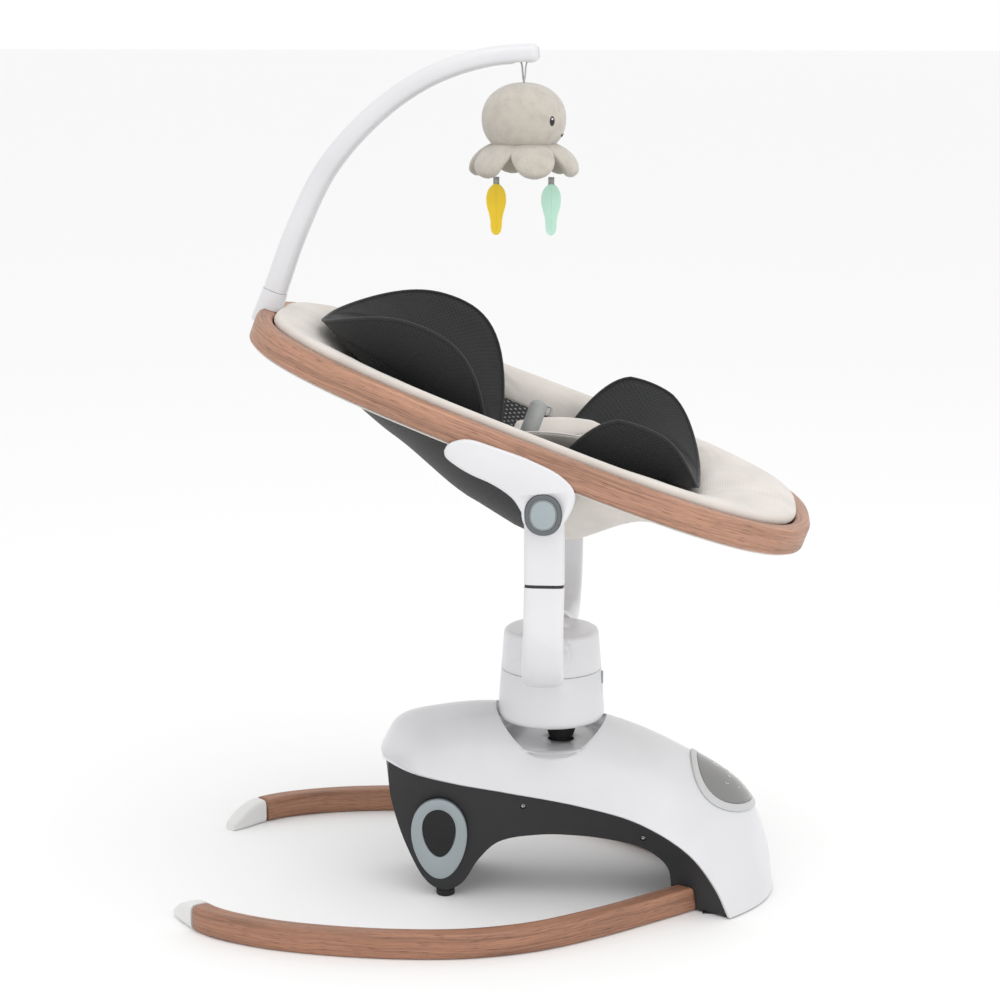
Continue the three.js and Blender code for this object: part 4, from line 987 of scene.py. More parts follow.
eye_radius = 0.024
bracket_corners = [
    (0.077, -0.040), (0.076, -0.033), (0.071, -0.0265), (0.057, -0.0185), (0.026, -0.0158),
    (-0.022, -0.0150), (-0.052, -0.0185), (-0.0715, -0.028), (-0.0765, -0.038), (-0.0772, -0.055),
    *(
        (hinge_spot.x + eye_radius * cos(a), hinge_spot.y + eye_radius * sin(a))
        for a in (radians(193 + 6 * i) for i in range(26))
    ),
    (-0.0215, -0.0690), (-0.013, -0.0630), (0.001, -0.0582), (0.018, -0.0553), (0.041, -0.0540),
    (0.060, -0.0505), (0.0735, -0.0455), (0.077, -0.040),
]
bracket_line = evenly([Vector((*p, 0)) for p in bracket_corners], 170)[0][:-1]


def upright(side=1):
    """Stands a plate drawn as (along, up) on the seat's length, its thickness towards a side."""
    return Matrix(((0, 0, side, 0), (1, 0, 0, 0), (0, 1, 0, 0), (0, 0, 0, 1)))


def side_plate(name, side, outline, low, high, edge, hole=None):
    """A plate on a side of the seat, drawn as (along, up), from low to high outwards."""
    plate = slab(name, outline, low, high, edge, hole)
    plate.data.transform(seat_place @ upright(side))
    face_out(plate)
    return plate


def knob_line(share, grow=0.0):
    """The knob's outline, upright while the seat is at rest."""
    level = Matrix.Rotation(-seat_pitch, 3, "Z")
    return [
        hinge_spot + level @ Vector((x, y, 0))
        for x, y in oval(0.0200 * share + grow, 0.0228 * share + grow, 2.2, 96)
    ]


def rim_side(y):
    """The rim's outer half width at a place along the seat."""
    angle = math.asin((abs(y) / rim_length) ** (rim_power / 2))
    flare, drawn_flare = 1 - rim_flare * y / rim_length, 1 - rim_flare * abs(y) / rim_length
    return abs(rim_point(angle, 0).x) * flare / drawn_flare


bracket_in, bracket_out = 0.1984, 0.2236
knob_floor, knob_face = 0.2190, 0.2254
for name, side in (("right", -1), ("left", 1)):
    body = side_plate("bracket_" + name, side, bracket_line, bracket_in, bracket_out, 0.0030)
    tunnel_low, tunnel_rows = -rim_height - gap, []
    for y in (-0.1 + 0.01 * i for i in range(21)):
        wall_x = rim_side(y) + 0.0002
        tunnel_rows.append([
            Vector((side * x, y, z))
            for x, z in ((0.15, 0.02), (0.15, tunnel_low), (wall_x, tunnel_low), (wall_x, 0.02))
        ])
    carve(body, in_seat(solid("rim_tunnel", tunnel_rows)))
    carve(body, side_plate("knob_seat", side, knob_line(1, 0.0007), knob_floor, 0.24, 0.0003))
    carve(body, side_plate("button_well", side, knob_line(0.7, gap), 0.19, 0.24, 0.0003))
    fit(body, "seat", "white_shell", white_plastic, "seat_bracket_" + name)
    ring = side_plate(
        "knob_dark_ring_" + name, side, knob_line(1), knob_floor + gap, knob_face, 0.0011, knob_line(0.745))
    fit(ring, "seat", "dark_trim", dark_plastic, "knob_ring_" + name)
    lining = side_plate(
        "knob_lining_" + name, side, knob_line(0.742), knob_floor + gap, knob_face + gap, 0.0004,
        knob_line(0.712))
    fit(lining, "seat", "grey_trim", bezel_plastic)
    button = side_plate("button_cap_" + name, side, knob_line(0.7), 0.2125, 0.2268, 0.0016)
    fit(button, "recline_button_" + name, "grey_trim", trim_plastic, "recline_button_" + name)

# ---- Sling under the seat ----
# Open black mesh carries the child's back and bottom and plain cream cloth carries the legs.
# Both are sewn to a cream hem that is held under the rim.

sling_line = [
    (1, -0.08), (0.74, -0.35), (0.42, -0.64), (0.1, -0.9), (-0.1, -1), (-0.26, -0.96), (-0.46, -0.54),
    (-0.72, -0.34), (-1, -0.1),
]
sling_depth = 0.130


def sling_bottom(y):
    """The height of the sling's lowest line at a place along the seat."""
    share = y / rim_length
    places = [p for p, _ in sling_line][::-1]
    i = min(max(int(np.searchsorted(places, share)), 1), len(places) - 1)
    (y0, z0), (y1, z1) = sling_line[::-1][i], sling_line[::-1][i - 1]
    t = min(max((share - y1) / (y0 - y1), 0), 1)
    ease = t * t * (3 - 2 * t) * 0.4 + t * 0.6
    return sling_depth * (z1 + (z0 - z1) * ease)


def bowl_height(x, y, inside, lift, edge_height):
    """How high a stretched cloth hangs at a place: level at its edge, deep along the middle."""
    flare = 1 - rim_flare * y / rim_length
    across, lengthways = x / ((rim_half - inside) * flare), y / (rim_length - inside)
    spread = abs(across) ** rim_power + abs(lengthways) ** rim_power
    return edge_height + (sling_bottom(y) + lift - edge_height) * max(0, 1 - spread ** (2.6 / rim_power))


def fabric(name, color, roughness, pitch, depth):
    """Woven cloth on the run map: threads cross at the pitch, with painted shade in the gaps between them,
    over a soft uneven tone.
    """
    look, tree, shader = blank(name, roughness, sheen=0.15)
    run = add(tree, "UVMap", uv_map="run")
    scale = 0.314 / pitch
    warp = add(tree, "TexWave", {"Vector": run, "Scale": scale}, out=1, bands_direction="X")
    weft = add(tree, "TexWave", {"Vector": run, "Scale": scale}, out=1, bands_direction="Y")
    threads = add(tree, "Math", {0: warp, 1: weft}, operation="MULTIPLY")
    place = add(tree, "TexCoord", out=3)
    cloud = noise(tree, place, 22.0, 4.0)
    fuzz = noise(tree, place, 1500.0, 2.0)
    shade = blend_colors(tree, cloud, [(0.3, tinted(color, 0.92)), (0.7, tinted(color, 1.04))])
    # The gaps between threads are painted darker: painted shade in the weave.
    dip = blend_colors(tree, threads, [(0, (0.86, 0.86, 0.86)), (0.5, (1, 1, 1))])
    both = add(tree, "MixRGB", {"Fac": 0.8, "Color1": shade, "Color2": dip}, blend_type="MULTIPLY")
    paint(tree, shader, both)
    height = add(tree, "Math", {0: threads, 1: fuzz}, operation="ADD")
    relief(tree, shader, height, depth)
    return look


def open_mesh(name, color, hole, pitch, hole_size):
    """Knitted net on the run map: round holes at the pitch, set in offset rows. The holes are not cut but
    painted in the hole colour; a dark hole colour is painted shade in the openings.
    """
    look, tree, shader = blank(name, 0.72, sheen=0.1)
    run = add(tree, "UVMap", uv_map="run")
    slanted = add(tree, "Mapping", {
        "Vector": run, "Rotation": (0, 0, pi / 4), "Scale": (1 / pitch, 1 / pitch, 1)})
    cell = add(tree, "TexVoronoi", {
        "Vector": slanted, "Scale": 1.0, "Randomness": 0.0}, voronoi_dimensions="2D")
    yarn = add(tree, "TexWave", {"Vector": run, "Scale": 0.314 / (pitch / 4)}, out=1)
    body = blend_colors(tree, yarn, [(0, tinted(color, 0.6)), (1, tinted(color, 1.5))])
    # The hole colour is painted where the openings are; a dark one is painted shade.
    rim_of_hole = blend_colors(tree, cell, [(hole_size - 0.04, (0, 0, 0)), (hole_size + 0.04, (1, 1, 1))])
    shade = add(tree, "MixRGB", {"Fac": rim_of_hole, "Color1": (*hole, 1), "Color2": body})
    paint(tree, shader, shade)
    relief(tree, shader, rim_of_hole, 0.0005)
    return look


cream_cloth = fabric("cream_jersey", (0.74, 0.695, 0.645), 0.9, 0.0011, 0.00012)
cream_trim = fabric("cream_binding", (0.78, 0.735, 0.69), 0.85, 0.0009, 0.0001)
# Its near-black holes are painted shade.
sling_net = open_mesh("black_net", (0.0125, 0.0132, 0.0145), (0.003, 0.003, 0.0035), 0.0026, 0.26)


def sling_rows(low, high, count, columns=64):
    """Rows across the sling from one place along the seat to another."""
    inside = 0.0215
    turns = [math.copysign(math.asin(min(1, abs(share) ** (rim_power / 2))), share) for share in (low, high)]
    rows = []
    for i in range(count + 1):
        angle = turns[0] + (turns[1] - turns[0]) * i / count
        edge = rim_point(angle, inside)
        half = max(edge.x, 0.004)
        row = []
        for j in range(columns + 1):
            x = half * sin((2 * j / columns - 1) * pi / 2)
            row.append(Vector((x, edge.y, bowl_height(x, edge.y, inside, -0.001, -0.026))))
        rows.append(row)
    return rows


sling_seam, sheet_thick, sling_wide = -0.12, 0.0012, 0.56
for name, low, high, count, look, slot_name in (
    ("sling_net", sling_seam, 1, 70, sling_net, "black_mesh"),
    ("sling_cloth", -1, sling_seam, 60, cream_cloth, "cream_fabric"),
):
    sling = in_seat(skin(name, sling_rows(low, high, count)))
    face_from(sling, seat_place @ Vector((0, 0, 0.3)))
    thicken(sling, sheet_thick)
    fit(sling, "seat", slot_name, look, *(["seat_sling"] if name == "sling_net" else []))

hem = in_seat(skin("sling_hem", [
    [rim_point(a, inside, z) for inside, z in rounded_section(0.0075, 0.0235, -0.0316, -0.0342, 0.0012, 3)]
    for a in rim_angles(220)
], closed=True, ring=True))
fit(hem, "seat", "cream_fabric", cream_trim)

# ---- Padded liner ----
# A soft cream ring rolls over the rim's inner edge. It is broad at the head and the foot, and
# a black net is sewn into its middle, under the pads.

liner_inside, liner_lift, liner_edge = 0.034, 0.0145, 0.008
net_half = 0.2


def puff(piece, seams, cap, pressure):
    """Blows the stuffing into a closed form with Cloth. The seams, as point numbers, stay put."""
    group = piece.vertex_groups.new(name="seam")
    group.add(seams, 1.0, "REPLACE")
    rest = np.empty(len(piece.data.vertices) * 3)
    piece.data.vertices.foreach_get("co", rest)
    cloth = piece.modifiers.new("stuffing", "CLOTH")
    cloth.settings.vertex_group_mass = "seam"
    cloth.settings.use_pressure = True
    cloth.settings.uniform_pressure_force = pressure
    cloth.settings.quality = 5
    cloth.settings.tension_stiffness = 12
    cloth.settings.bending_stiffness = 0.3
    cloth.settings.effector_weights.gravity = 0
    last = 20
    cloth.point_cache.frame_start, cloth.point_cache.frame_end = 1, last
    for number in range(1, last + 1):
        scene.frame_set(number)
    ready = piece.evaluated_get(bpy.context.evaluated_depsgraph_get())
    blown = np.empty_like(rest)
    ready.data.vertices.foreach_get("co", blown)
    step = (blown - rest).reshape(-1, 3)
    reach = np.linalg.norm(step, axis=1, keepdims=True)
    step *= np.minimum(1, cap / np.maximum(reach, 1e-9))
    piece.modifiers.clear()
    piece.vertex_groups.clear()
    piece.data.vertices.foreach_set("co", (rest.reshape(-1, 3) + np.nan_to_num(step)).ravel())
    piece.data.update()
    scene.frame_set(1)


def net_edge(angle):
    """How far out from the seat's middle the net reaches, as a share of the way to the edge."""
    edge = rim_point(angle, liner_inside)
    return min(0.875, net_half / max(abs(edge.y), 1e-6))


def liner_point(angle, share, over=0.0):
    edge = rim_point(angle, liner_inside)
    x, y = edge.x * share, edge.y * share
    return Vector((x, y, bowl_height(x, y, liner_inside, liner_lift, liner_edge) + over))


liner_rows = []
liner_turns = rim_angles(220)
for a in liner_turns:
    inner = net_edge(a)
    foot_end = max(0, -sin(a)) ** 3
    row = []
    for i in range(19):
        share = inner + (1 - inner) * i / 18
        crown = sin(pi * i / 18)
        crease = 0.0016 * foot_end * sin(9 * pi * i / 18) * sin(3 * cos(a) * 2)
        row.append(liner_point(a, share, 0.003 * crown * (1 + 2 * foot_end) + crease))
    for turn in (75, 50, 25, 0, -25, -50, -75):
        t = radians(turn)
        row.append(rim_point(a, 0.0280 - 0.0077 * cos(t), 0.0012 + 0.0078 * sin(t) + 0.001 * foot_end))
    for i in range(10):
        share = 1 - (1 - inner) * i / 9
        row.append(liner_point(a, share, -0.008 if i else -0.0095))
    liner_rows.append(row)
liner = in_seat(skin("padded_liner", liner_rows, closed=True, ring=True))
width = len(liner_rows[0])
pinned = [i * width + j for i in range(len(liner_rows)) for j in (0, *range(20, 28), width - 1, width - 2)]
puff(liner, pinned, 0.005, 3.0)
fit(liner, "seat", "cream_fabric", cream_cloth, "seat_liner")

liner_net_look = open_mesh(
    "black_net_pale_holes", (0.0125, 0.0132, 0.0145), (0.3, 0.295, 0.28), 0.0042, 0.22)
liner_net = in_seat(skin("liner_net", [
    [liner_point(a, net_edge(a) * (1.0 - 0.97 * i / 24), -0.0035) for a in liner_turns] for i in range(25)
], closed=True))
face_from(liner_net, seat_place @ Vector((0, 0, -0.6)))
thicken(liner_net, sheet_thick)
fit(liner_net, "seat", "black_mesh", liner_net_look)

# ---- Back and leg pads ----
# Two loose black pads of quilted spacer net. Their wings stand up beside the child, and each
# has piping round its border and a row of stitches inside it.

pad_inset, pad_thick = 0.055, 0.009
# Its near-black holes are painted shade.
pad_look = open_mesh("black_spacer_net", (0.0125, 0.013, 0.0145), (0.0035, 0.0035, 0.004), 0.0042, 0.27)
piping_look = fabric("black_piping", (0.016, 0.0165, 0.018), 0.8, 0.0007, 0.00008)
thread_look = moulded("grey_thread", (0.035, 0.035, 0.037), 0.8)


def pad_point(low, high, wing_height, v, u):
    """A place on a pad's middle sheet: v runs along the seat, u across it from -1 to 1."""
    y = low + (high - low) * v
    wing = wing_height * sin(pi * min(max(v, 0), 1)) ** 0.8
    share = min(abs(y) / rim_length, 1)
    flare = 1 - rim_flare * y / rim_length
    half = rim_half * (1 - share ** rim_power) ** (1 / rim_power) * flare - pad_inset
    half *= max(0.15, (1 - min(1, abs(2 * v - 1)) ** 3) ** (1 / 3))
    x = half * u
    under = bowl_height(x * 1.13, y, liner_inside, liner_lift, liner_edge)
    return Vector((x, y, under + pad_thick / 2 + 0.0115 + wing * abs(u) ** 3))


def pad_normal(spread, v, u):
    a, b = pad_point(*spread, min(v + 0.01, 1), u), pad_point(*spread, max(v - 0.01, 0), u)
    c, d = pad_point(*spread, v, min(u + 0.02, 1)), pad_point(*spread, v, max(u - 0.02, -1))
    return (c - d).cross(a - b).normalized()


def tube(name, line, radius, closed=False, sides=10):
    """A round cord through places, its section carried along without a twist."""
    rows, count, side = [], len(line), None
    for i in range(count):
        before = line[i - 1] if closed or i else line[0]
        after = line[(i + 1) % count] if closed or i < count - 1 else line[-1]
        way = (after - before).normalized()
        side = (side or way.orthogonal()) - way * (side or way.orthogonal()).dot(way)
        side.normalize()
        up = way.cross(side)
        rows.append([line[i] + (side * cos(a) + up * sin(a)) * radius for a in round_angles(sides)])
    return skin(name, rows, closed=True, ring=closed, capped=not closed)


def stitches(name, line, ways, look):
    """Geometry Nodes lay a thread bead at each pitch along a line, pressed into the cloth."""
    pitch = 0.0042
    reach = np.cumsum([0, *((b - a).length for a, b in zip(line, line[1:]))])
    spots, turns = [], []
    for far in np.arange(pitch, reach[-1] - pitch, pitch):
        i = min(int(np.searchsorted(reach, far)), len(line) - 1)
        w = (far - reach[i - 1]) / (reach[i] - reach[i - 1])
        spots.append(line[i - 1].lerp(line[i], w) + ways[i] * 0.0002)
        turns.append((line[i] - line[i - 1]).normalized())
    return repeated(name, spots, turns, look, (0.0004, 0.0004, 0.0012))


down, across = 44, 64
channel = {round(across * s) for s in (0.14, 0.86)}
shares = [(1 - cos(pi * i / down)) / 2 for i in range(down + 1)]
for node, spread in (("back_insert", (0.027, 0.272, 0.045)), ("leg_insert", (-0.208, -0.027, 0.030))):
    rows, seams = [], []
    for v in shares:
        top, bottom = [], []
        for j in range(across + 1):
            u = 2 * j / across - 1
            spot, out = pad_point(*spread, v, u), pad_normal(spread, v, u)
            crown = min(1, 0.12 + 5 * min(v, 1 - v)) * min(1, 0.12 + 4 * (1 - abs(u)))
            if j in channel:
                crown *= 0.45
            thick = pad_thick / 2 * crown
            top.append(spot + out * thick)
            bottom.append(spot - out * thick)
        rows.append(top + bottom[::-1])
    wide = 2 * (across + 1)
    for i in range(down + 1):
        for j in range(across + 1):
            if i in (0, down) or j in (0, across) or j in channel:
                seams += [i * wide + j, i * wide + wide - 1 - j]
    pad = in_seat(solid(node + "_pad", rows))
    puff(pad, sorted(set(seams)), 0.0055, 4.0)
    fit(pad, "seat", "black_mesh", pad_look, node)
    border = [pad_point(*spread, 0, 2 * j / across - 1) for j in range(across)]
    border += [pad_point(*spread, v, 1) for v in shares[:-1]]
    border += [pad_point(*spread, 1, 1 - 2 * j / across) for j in range(across)]
    border += [pad_point(*spread, v, -1) for v in shares[:0:-1]]
    piping = in_seat(tube(node + "_piping", border, 0.0019, closed=True))
    fit(piping, "seat", "black_mesh", piping_look)
    rows_of_stitches = []
    for face in (1, -1):
        for u in (-0.72, 0.72):
            line, ways = [], []
            for v in (0.06 + 0.88 * i / 40 for i in range(41)):
                way = pad_normal(spread, v, u)
                line.append(seat_place @ (pad_point(*spread, v, u) + way * face * (pad_thick / 2 + 0.0012)))
                ways.append(pitch_turn.to_3x3() @ way * face)
            rows_of_stitches.append(stitches(node + "_stitches", line, ways, thread_look))
    seam = merged(rows_of_stitches)
    fit(seam, "seat", "black_mesh", thread_look)

# ---- Crotch strap and waist belts ----
# A flat woven strap stands up between the pads, rounded at its top with a small loop towards
# the feet. Two padded cream belt halves lie beside it.


def ribbon(name, outline, half_thick):
    """A flat band drawn as (along, up) in the seat's middle plane."""
    piece = slab(name, [Vector((*p, 0)) for p in outline], -half_thick, half_thick, 0.0006)
    piece.data.transform(upright())
    face_out(piece)
    return piece


webbing, webbing_tree, webbing_shader = blank("grey_webbing", 0.78, sheen=0.1)
web_place = add(webbing_tree, "TexCoord", out=3)
ribs = add(webbing_tree, "TexWave", {
    "Vector": web_place, "Scale": 210.0, "Distortion": 0.4}, out=1, bands_direction="Z")
web_cloud = noise(webbing_tree, web_place, 90.0, 3.0)
web_color = blend_colors(webbing_tree, web_cloud, [
    (0.3, (0.38, 0.395, 0.385)), (0.7, (0.45, 0.465, 0.455))])
paint(webbing_tree, webbing_shader, web_color)
relief(webbing_tree, webbing_shader, ribs, 0.00018)
strap_bottom = bowl_height(0, 0, liner_inside, liner_lift, liner_edge) + 0.005
strap_top, strap_half, strap_round = 0.013, 0.0105, 0.0075
strap_line = [
    (-strap_half, strap_bottom), (strap_half, strap_bottom), (strap_half, strap_top - 0.016),
    *(
        (strap_half * cos(a), strap_top - strap_round + strap_round * sin(a))
        for a in (radians(6 * i) for i in range(31))
    ),
    (-strap_half, strap_top - 0.016),
]
strap = in_seat(ribbon("crotch_strap_web", strap_line, 0.0014))
loop_path = [Vector((0, -strap_half + y, strap_top - drop)) for y, drop in (
    (0.002, 0.004), (-0.004, 0.0035), (-0.0055, 0.008), (-0.0035, 0.0125), (0.002, 0.014),
)]
fit(strap, "seat", "grey_webbing", webbing, "crotch_strap")
strap_loop = in_seat(tube("strap_loop", evenly(loop_path, 30)[0], 0.0014))
fit(strap_loop, "seat", "grey_webbing", webbing)

belt_steps = 40


def squared(value):
    return math.copysign(abs(value) ** 0.6, value)


def rim_seams(steps, count):
    """The points of a stuffed form's sewn edge: both sides of each ring, and both end rings."""
    sides = [i * count + j for i in range(steps + 1) for j in (0, count // 2)]
    return sorted({*sides, *range(count), *range(steps * count, (steps + 1) * count)})


for name, side in (("right", -1), ("left", 1)):
    root, tip = Vector((side * 0.030, 0.014, -0.042)), Vector((side * 0.056, -0.080, 0))
    run_way = (tip - root).normalized()
    lean = Vector((side, 0, 1.2))
    lean = (lean - run_way * lean.dot(run_way)).normalized()
    out = run_way.cross(lean)
    rows, count = [], 24
    for i in range(belt_steps + 1):
        t = i / belt_steps
        half = 0.017 * (1 - 0.65 * t * t) * min(1, (t + 0.02) * 14, (1.003 - t) * 9) ** 0.5
        spot = root.lerp(tip, t) + lean * 0.004 * sin(pi * t)
        rows.append([
            spot + lean * half * cos(a) + out * 0.0036 * min(1, half / 0.008) * squared(sin(a))
            for a in round_angles(count)
        ])
    seams = rim_seams(belt_steps, count)
    belt = in_seat(solid("waist_belt_pad_" + name, rows))
    puff(belt, seams, 0.003, 3.0)
    fit(belt, "seat", "cream_fabric", cream_cloth, "waist_belt_" + name)
    belt_edge = [row[0] for row in rows] + [row[count // 2] for row in rows[::-1]]
    binding = in_seat(tube("belt_binding_" + name, belt_edge, 0.0011, closed=True, sides=8))
    fit(binding, "seat", "cream_fabric", cream_trim)

# ---- Toy bar and its socket ----
# The white socket straddles the rim at the head end. The bar turns in it, rises, bends forward
# and ends in a notch with a pin for the toy.

bar_foot_y = rim_length - rim_thick / 2 + 0.003
socket = solid("bar_socket_body", [
    [Vector((x, bar_foot_y + y, z)) for x, y in oval(0.0175 + grow, 0.015 + grow * 0.6, 2.4, 72)]
    for z, grow in (
        (-0.0185, -0.0008), (-0.0178, 0.0008), (-0.0165, 0.0016), (-0.004, 0.0013), (0.008, 0.0004),
        (0.016, 0), (0.0212, 0), (0.0219, -0.0005),
    )
])
inner_face = rim_length - rim_thick
saddle = solid("rim_path", [
    [Vector((x, y, z)) for y, z in (
        (inner_face - 0.012, -0.03), (inner_face - 0.012, -0.010), (inner_face - 0.004, -0.0010),
        (inner_face + 0.002, 0.0003), (rim_length - 0.0045, 0.0003), (rim_length + 0.0002, -0.0035),
        (rim_length + 0.0003, -0.03),
    )]
    for x in (-0.05, 0.05)
])
face_out(saddle)
carve(socket, saddle)
carve(socket, rod("spigot_hole", (0, bar_foot_y, 0.006), (0, bar_foot_y, 0.03), 0.0094, 48))
soften(socket, 0.0007, 50)
fit(in_seat(socket), "seat", "white_shell", white_plastic, "bar_socket")

bar_reach, bar_foot_z, bar_tip_z, bar_steps = 0.195, 0.0224, 0.391, 120
bar_shares = [(0, 0), (0, 0.2), (0.05, 0.43), (0.22, 0.65), (0.44, 0.81), (0.71, 0.925), (1, 1)]
bar_path = [
    Vector((0, bar_foot_y - f * bar_reach, bar_foot_z + u * (bar_tip_z - bar_foot_z))) for f, u in bar_shares]
bar_spots, bar_ways = evenly(bar_path, bar_steps)
rows = []
for i, (spot, way) in enumerate(zip(bar_spots, bar_ways)):
    t = i / bar_steps
    wide, deep = 0.016 + (0.013 - 0.016) * t, 0.014 + (0.011 - 0.014) * t
    closing = max(0, (t - 0.985) / 0.015)
    shrink = 1 - 0.5 * closing ** 2
    up = way.cross(Vector((1, 0, 0))).normalized()
    rows.append([spot + Vector((p * shrink, 0, 0)) + up * q * shrink for p, q in oval(wide, deep, 2.6, 60)])
bar = solid("toy_bar_body", rows)
bar_run = sum((b - a).length for a, b in zip(bar_spots, bar_spots[1:]))
notch_from_tip, pin_half = 0.017, 0.0095
notch = along(bar_spots, 1 - notch_from_tip / bar_run)
pin_middle = notch + Vector((0, 0, -0.003))
pin_reach = Vector((pin_half, 0, 0))
notch_block = slab("notch_block", [
    Vector((x, y, 0)) for x, y in oval(0.0085, 0.008, 6, 40)], -0.010, 0.010, 0.0002)
notch_block.data.transform(Matrix.Translation(notch + Vector((0, 0, -0.007))))
carve(bar, notch_block)
soften(bar, 0.0006, 50)
add_shape(bar, rod("toy_pin", pin_middle - pin_reach, pin_middle + pin_reach, 0.0018, 24))
add_shape(bar, rod("spigot", (0, bar_foot_y, 0.008), (0, bar_foot_y, 0.026), 0.009, 48))
fit(in_seat(bar), "bar", "white_shell", white_plastic, "toy_bar")

# ---- Hanging toy ----
# A stuffed plush head with a skirt of six stuffed petals hangs from a woven tape. A yellow and
# a mint silicone leaf hang from the skirt on ribbons.

toy_place = Matrix.Translation(seat_place @ pin_middle)
head_top, head_bottom, head_radius = -0.030, -0.1133, 0.049


def in_toy(piece):
    piece.data.transform(toy_place)
    return piece


tape_half, tape_half_thick, tape_steps = 0.0055, 0.0006, 80
tape_side = [(0.0, -0.030), (-0.0012, -0.024), (-0.0022, -0.012), (-0.0040, -0.003), (-0.0036, 0.0022)]
tape_path = [*tape_side, (0, 0.0040), *((-y, z) for y, z in tape_side[::-1])]
tape_line = [along([Vector((0, y, z)) for y, z in tape_path], i / tape_steps) for i in range(tape_steps + 1)]
rows = []
for i, spot in enumerate(tape_line):
    way = (tape_line[min(i + 1, tape_steps)] - tape_line[max(i - 1, 0)]).normalized()
    out = Vector((1, 0, 0)).cross(way)
    rows.append([
        spot + Vector((x * tape_half, 0, 0)) + out * y * tape_half_thick
        for x, y in ((-1, -1), (1, -1), (1, 1), (-1, 1))
    ])
tape = in_toy(solid("toy_tape", rows))
soften(tape, 0.0002, 60)
fit(tape, "toy", "grey_webbing", webbing, "toy_strap")


def pile(name, color):
    """Short plush pile: clumps of fibre painted lighter where they catch the light and darker between,
    painted highlight and shade, over an uneven tone; the same clumps are bumps.
    """
    look, tree, shader = blank(name, 0.95, sheen=0.5)
    place = add(tree, "TexCoord", out=3)
    tuft = noise(tree, place, 620.0, 5.0, Roughness=0.7)
    clump = noise(tree, place, 90.0, 3.0)
    fibres = mean(tree, tuft, clump)
    # The fibre clumps are painted lighter and darker: painted highlight and shade on the pile.
    shade = blend_colors(tree, fibres, [
        (0.36, tinted(color, 0.86)), (0.5, color), (0.64, tinted(color, 1.06))])
    paint(tree, shader, shade)
    relief(tree, shader, fibres, 0.0022)
    return look


plush = pile("oat_plush", (0.52, 0.48, 0.42))
head_rows, middle, rise = [], (head_top + head_bottom) / 2, (head_top - head_bottom) / 2
for i in range(61):
    a = (i / 60 - 0.5) * pi
    height = middle + rise * math.copysign(abs(sin(a)) ** 0.95, sin(a))
    row = []
    for j in range(96):
        turn = j * 2 * pi / 96
        seam = 0.0011 * math.exp(-((abs(cos(turn)) / 0.035) ** 2))
        radius = head_radius * cos(a) ** 0.92 * (1 - 0.002) - seam * cos(a)
        radius = radius if abs(a) < pi / 2 - 1e-6 else 0.0004
        row.append(Vector((radius * cos(turn), radius * sin(turn), height)))
    head_rows.append(row)
head = in_toy(solid("plush_head", head_rows))
fit(head, "toy", "plush", plush, "toy_head")


def on_head(turn, z, lift):
    """A place on the head: turn is in degrees from its right side towards the feet."""
    a = math.asin(max(-1, min(1, (z - middle) / rise)))
    out = Vector((-cos(radians(turn)), -sin(radians(turn)), 0))
    return out * (head_radius * cos(a) ** 0.92 + lift) + Vector((0, 0, z)), out


eye_black = moulded("stitched_black", (0.008, 0.008, 0.009), 0.35)
painted_glint_white = moulded("painted_eye_glint", (0.85, 0.85, 0.85), 0.5)
eyes = []
for turn in (46, 124):
    spot, out = on_head(turn, middle - 0.001, -0.0004)
    side_way = out.cross(Vector((0, 0, 1)))
    facing = Matrix((side_way, Vector((0, 0, 1)), out)).transposed().to_4x4()
    eye = turned("toy_eyes", (0, 0), [
        (0.0002, 0.0016), (0.6, 0.0014), (0.85, 0.0009), (1, 0.0001), (1, -0.001)], 40)
    eye.data.transform(Matrix.Diagonal((0.0038, 0.0056, 1, 1)))
    eye.data.transform(Matrix.Translation(spot) @ facing)
    face_out(eye)
    eyes.append(eye)
    # A small white disc on the upper part of each eye is a painted highlight.
    glint = turned("eye_glint_%d" % turn, (0, 0), [(0.0001, 0.0020), (0.8, 0.0019), (1, 0.0012)], 20)
    glint.data.transform(Matrix.Diagonal((0.0012, 0.0012, 1, 1)))
    glint_spot = spot + Vector((0, 0, 0.0024)) + side_way * 0.001
    glint.data.transform(Matrix.Translation(glint_spot) @ facing)
    face_out(glint)
    fit(in_toy(glint), "toy", "plush", painted_glint_white)
fit(in_toy(merged(eyes)), "toy", "plush", eye_black)
smile_turn, smile_z = 85, middle - 0.017
smile_line = [
    on_head(smile_turn + d, smile_z - 0.003 * (1 - (d / 9) ** 2), 0.0006)[0] for d in range(-9, 10)]
smile = in_toy(tube("toy_smile", smile_line, 0.0006, sides=8))
fit(smile, "toy", "plush", eye_black)

# Petals numbered 2 to 4 face away from the lamps and the camera and get a darker copy of the plush: painted
# shade.
lit_and_shaded_plush = {False: plush, True: pile("painted_shade_oat_plush", (0.47, 0.43, 0.37))}
skirt_top = head_bottom + 0.012
petal_half, petal_half_thick, petal_steps = 0.0250, 0.0080, 30
petal_curve = [(0.016, 0.002), (0.030, 0.004), (0.045, 0.011), (0.055, 0.022), (0.058, 0.036)]
for number in range(6):
    turn = radians(17 + 60 * number)
    out = Vector((-cos(turn), -sin(turn), 0))
    side_way = Vector((0, 0, 1)).cross(out)
    spine = [out * reach + Vector((0, 0, skirt_top - drop)) for reach, drop in petal_curve]
    rows = []
    for i, (spot, way) in enumerate(zip(*evenly(spine, petal_steps))):
        t = i / petal_steps
        half = petal_half * (max(0.02, 1 - abs((t - 0.55) / (0.455 if t > 0.55 else 0.9)) ** 2.4)) ** 0.5
        up = side_way.cross(way)
        rows.append([
            spot + side_way * half * cos(a) + up * petal_half_thick * min(1, half / 0.016) * sin(a)
            for a in round_angles(28)
        ])
    petal = in_toy(solid("plush_petal_%d" % (number + 1), rows))
    puff(petal, rim_seams(petal_steps, 28), 0.0045, 4.0)
    fit(petal, "toy", "plush", lit_and_shaded_plush[number in (2, 3, 4)], *(["toy_petals"] if number == 0 else []))


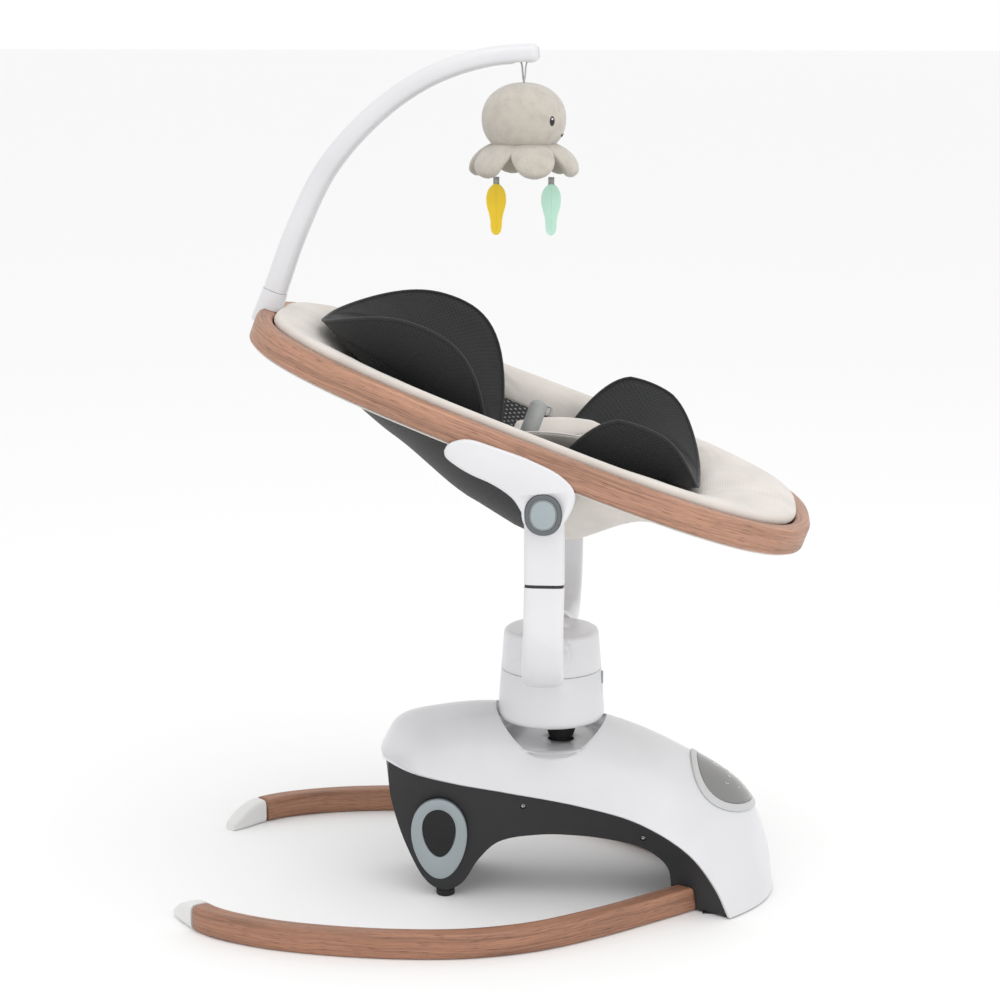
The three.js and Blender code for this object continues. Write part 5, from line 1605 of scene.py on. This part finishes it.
def silicone(name, color):
    """Soft matt silicone with a slight glow through its thin edges."""
    look, tree, shader = blank(name, 0.42, sheen=0.05)
    shader.inputs["Subsurface Weight"].default_value = 0.15
    shader.inputs["Subsurface Scale"].default_value = 0.004
    place = add(tree, "TexCoord", out=3)
    cloud = noise(tree, place, 60.0, 3.0)
    shade = blend_colors(tree, cloud, [(0.3, tinted(color, 0.95)), (0.7, color)])
    paint(tree, shader, shade)
    fine = noise(tree, place, 900.0)
    relief(tree, shader, fine, 0.00003)
    return look


leaf_apart, leaf_drop, leaf_half_thick = 0.032, 0.026, 0.0045
leaf_side = [(0.0045, -0.0085), (0.0088, -0.0135), (0.0113, -0.0220), (0.0108, -0.0320), (0.0082, -0.0415),
             (0.0066, -0.0500), (0.0062, -0.0580), (0.0042, -0.0640)]
leaf_top, leaf_tip = (0, -0.0065), (0, -0.0662)
leaf_corners = [leaf_top, *((-x, z) for x, z in leaf_side), leaf_tip, *leaf_side[::-1], leaf_top]
leaf_outline = evenly([Vector((*p, 0)) for p in leaf_corners], 110)[0][:-1]
for name, side, color in (("yellow", 1, (0.86, 0.6, 0.014)), ("mint", -1, (0.53, 0.81, 0.67))):
    leaf_place = toy_place @ Matrix.Translation((0, side * leaf_apart, head_bottom - leaf_drop)) @ upright()
    leaf = slab("leaf_" + name, leaf_outline, -leaf_half_thick, leaf_half_thick, 0.0022)
    for face in (1, -1):
        vein_line = [Vector((0, -0.012 - 0.05 * i / 20, face * 0.0046)) for i in range(21)]
        carve(leaf, tube("vein", vein_line, 0.0006, sides=8))
    leaf.data.transform(leaf_place)
    face_out(leaf)
    soften(leaf, 0.0004, 60)
    fit(leaf, name + "_leaf", name + "_silicone", silicone(name + "_silicone", color), "teether_" + name)
    ribbon_corners = ((-1, -0.0105), (1, -0.0105), (1, 0.001), (-1, 0.001))
    ribbon_form = slab("leaf_ribbon_" + name, [
        Vector((x * 0.0035, z, 0)) for x, z in ribbon_corners], -0.0010, 0.0010, 0.0003)
    ribbon_form.data.transform(leaf_place)
    face_out(ribbon_form)
    fit(ribbon_form, name + "_leaf", "grey_webbing", webbing)
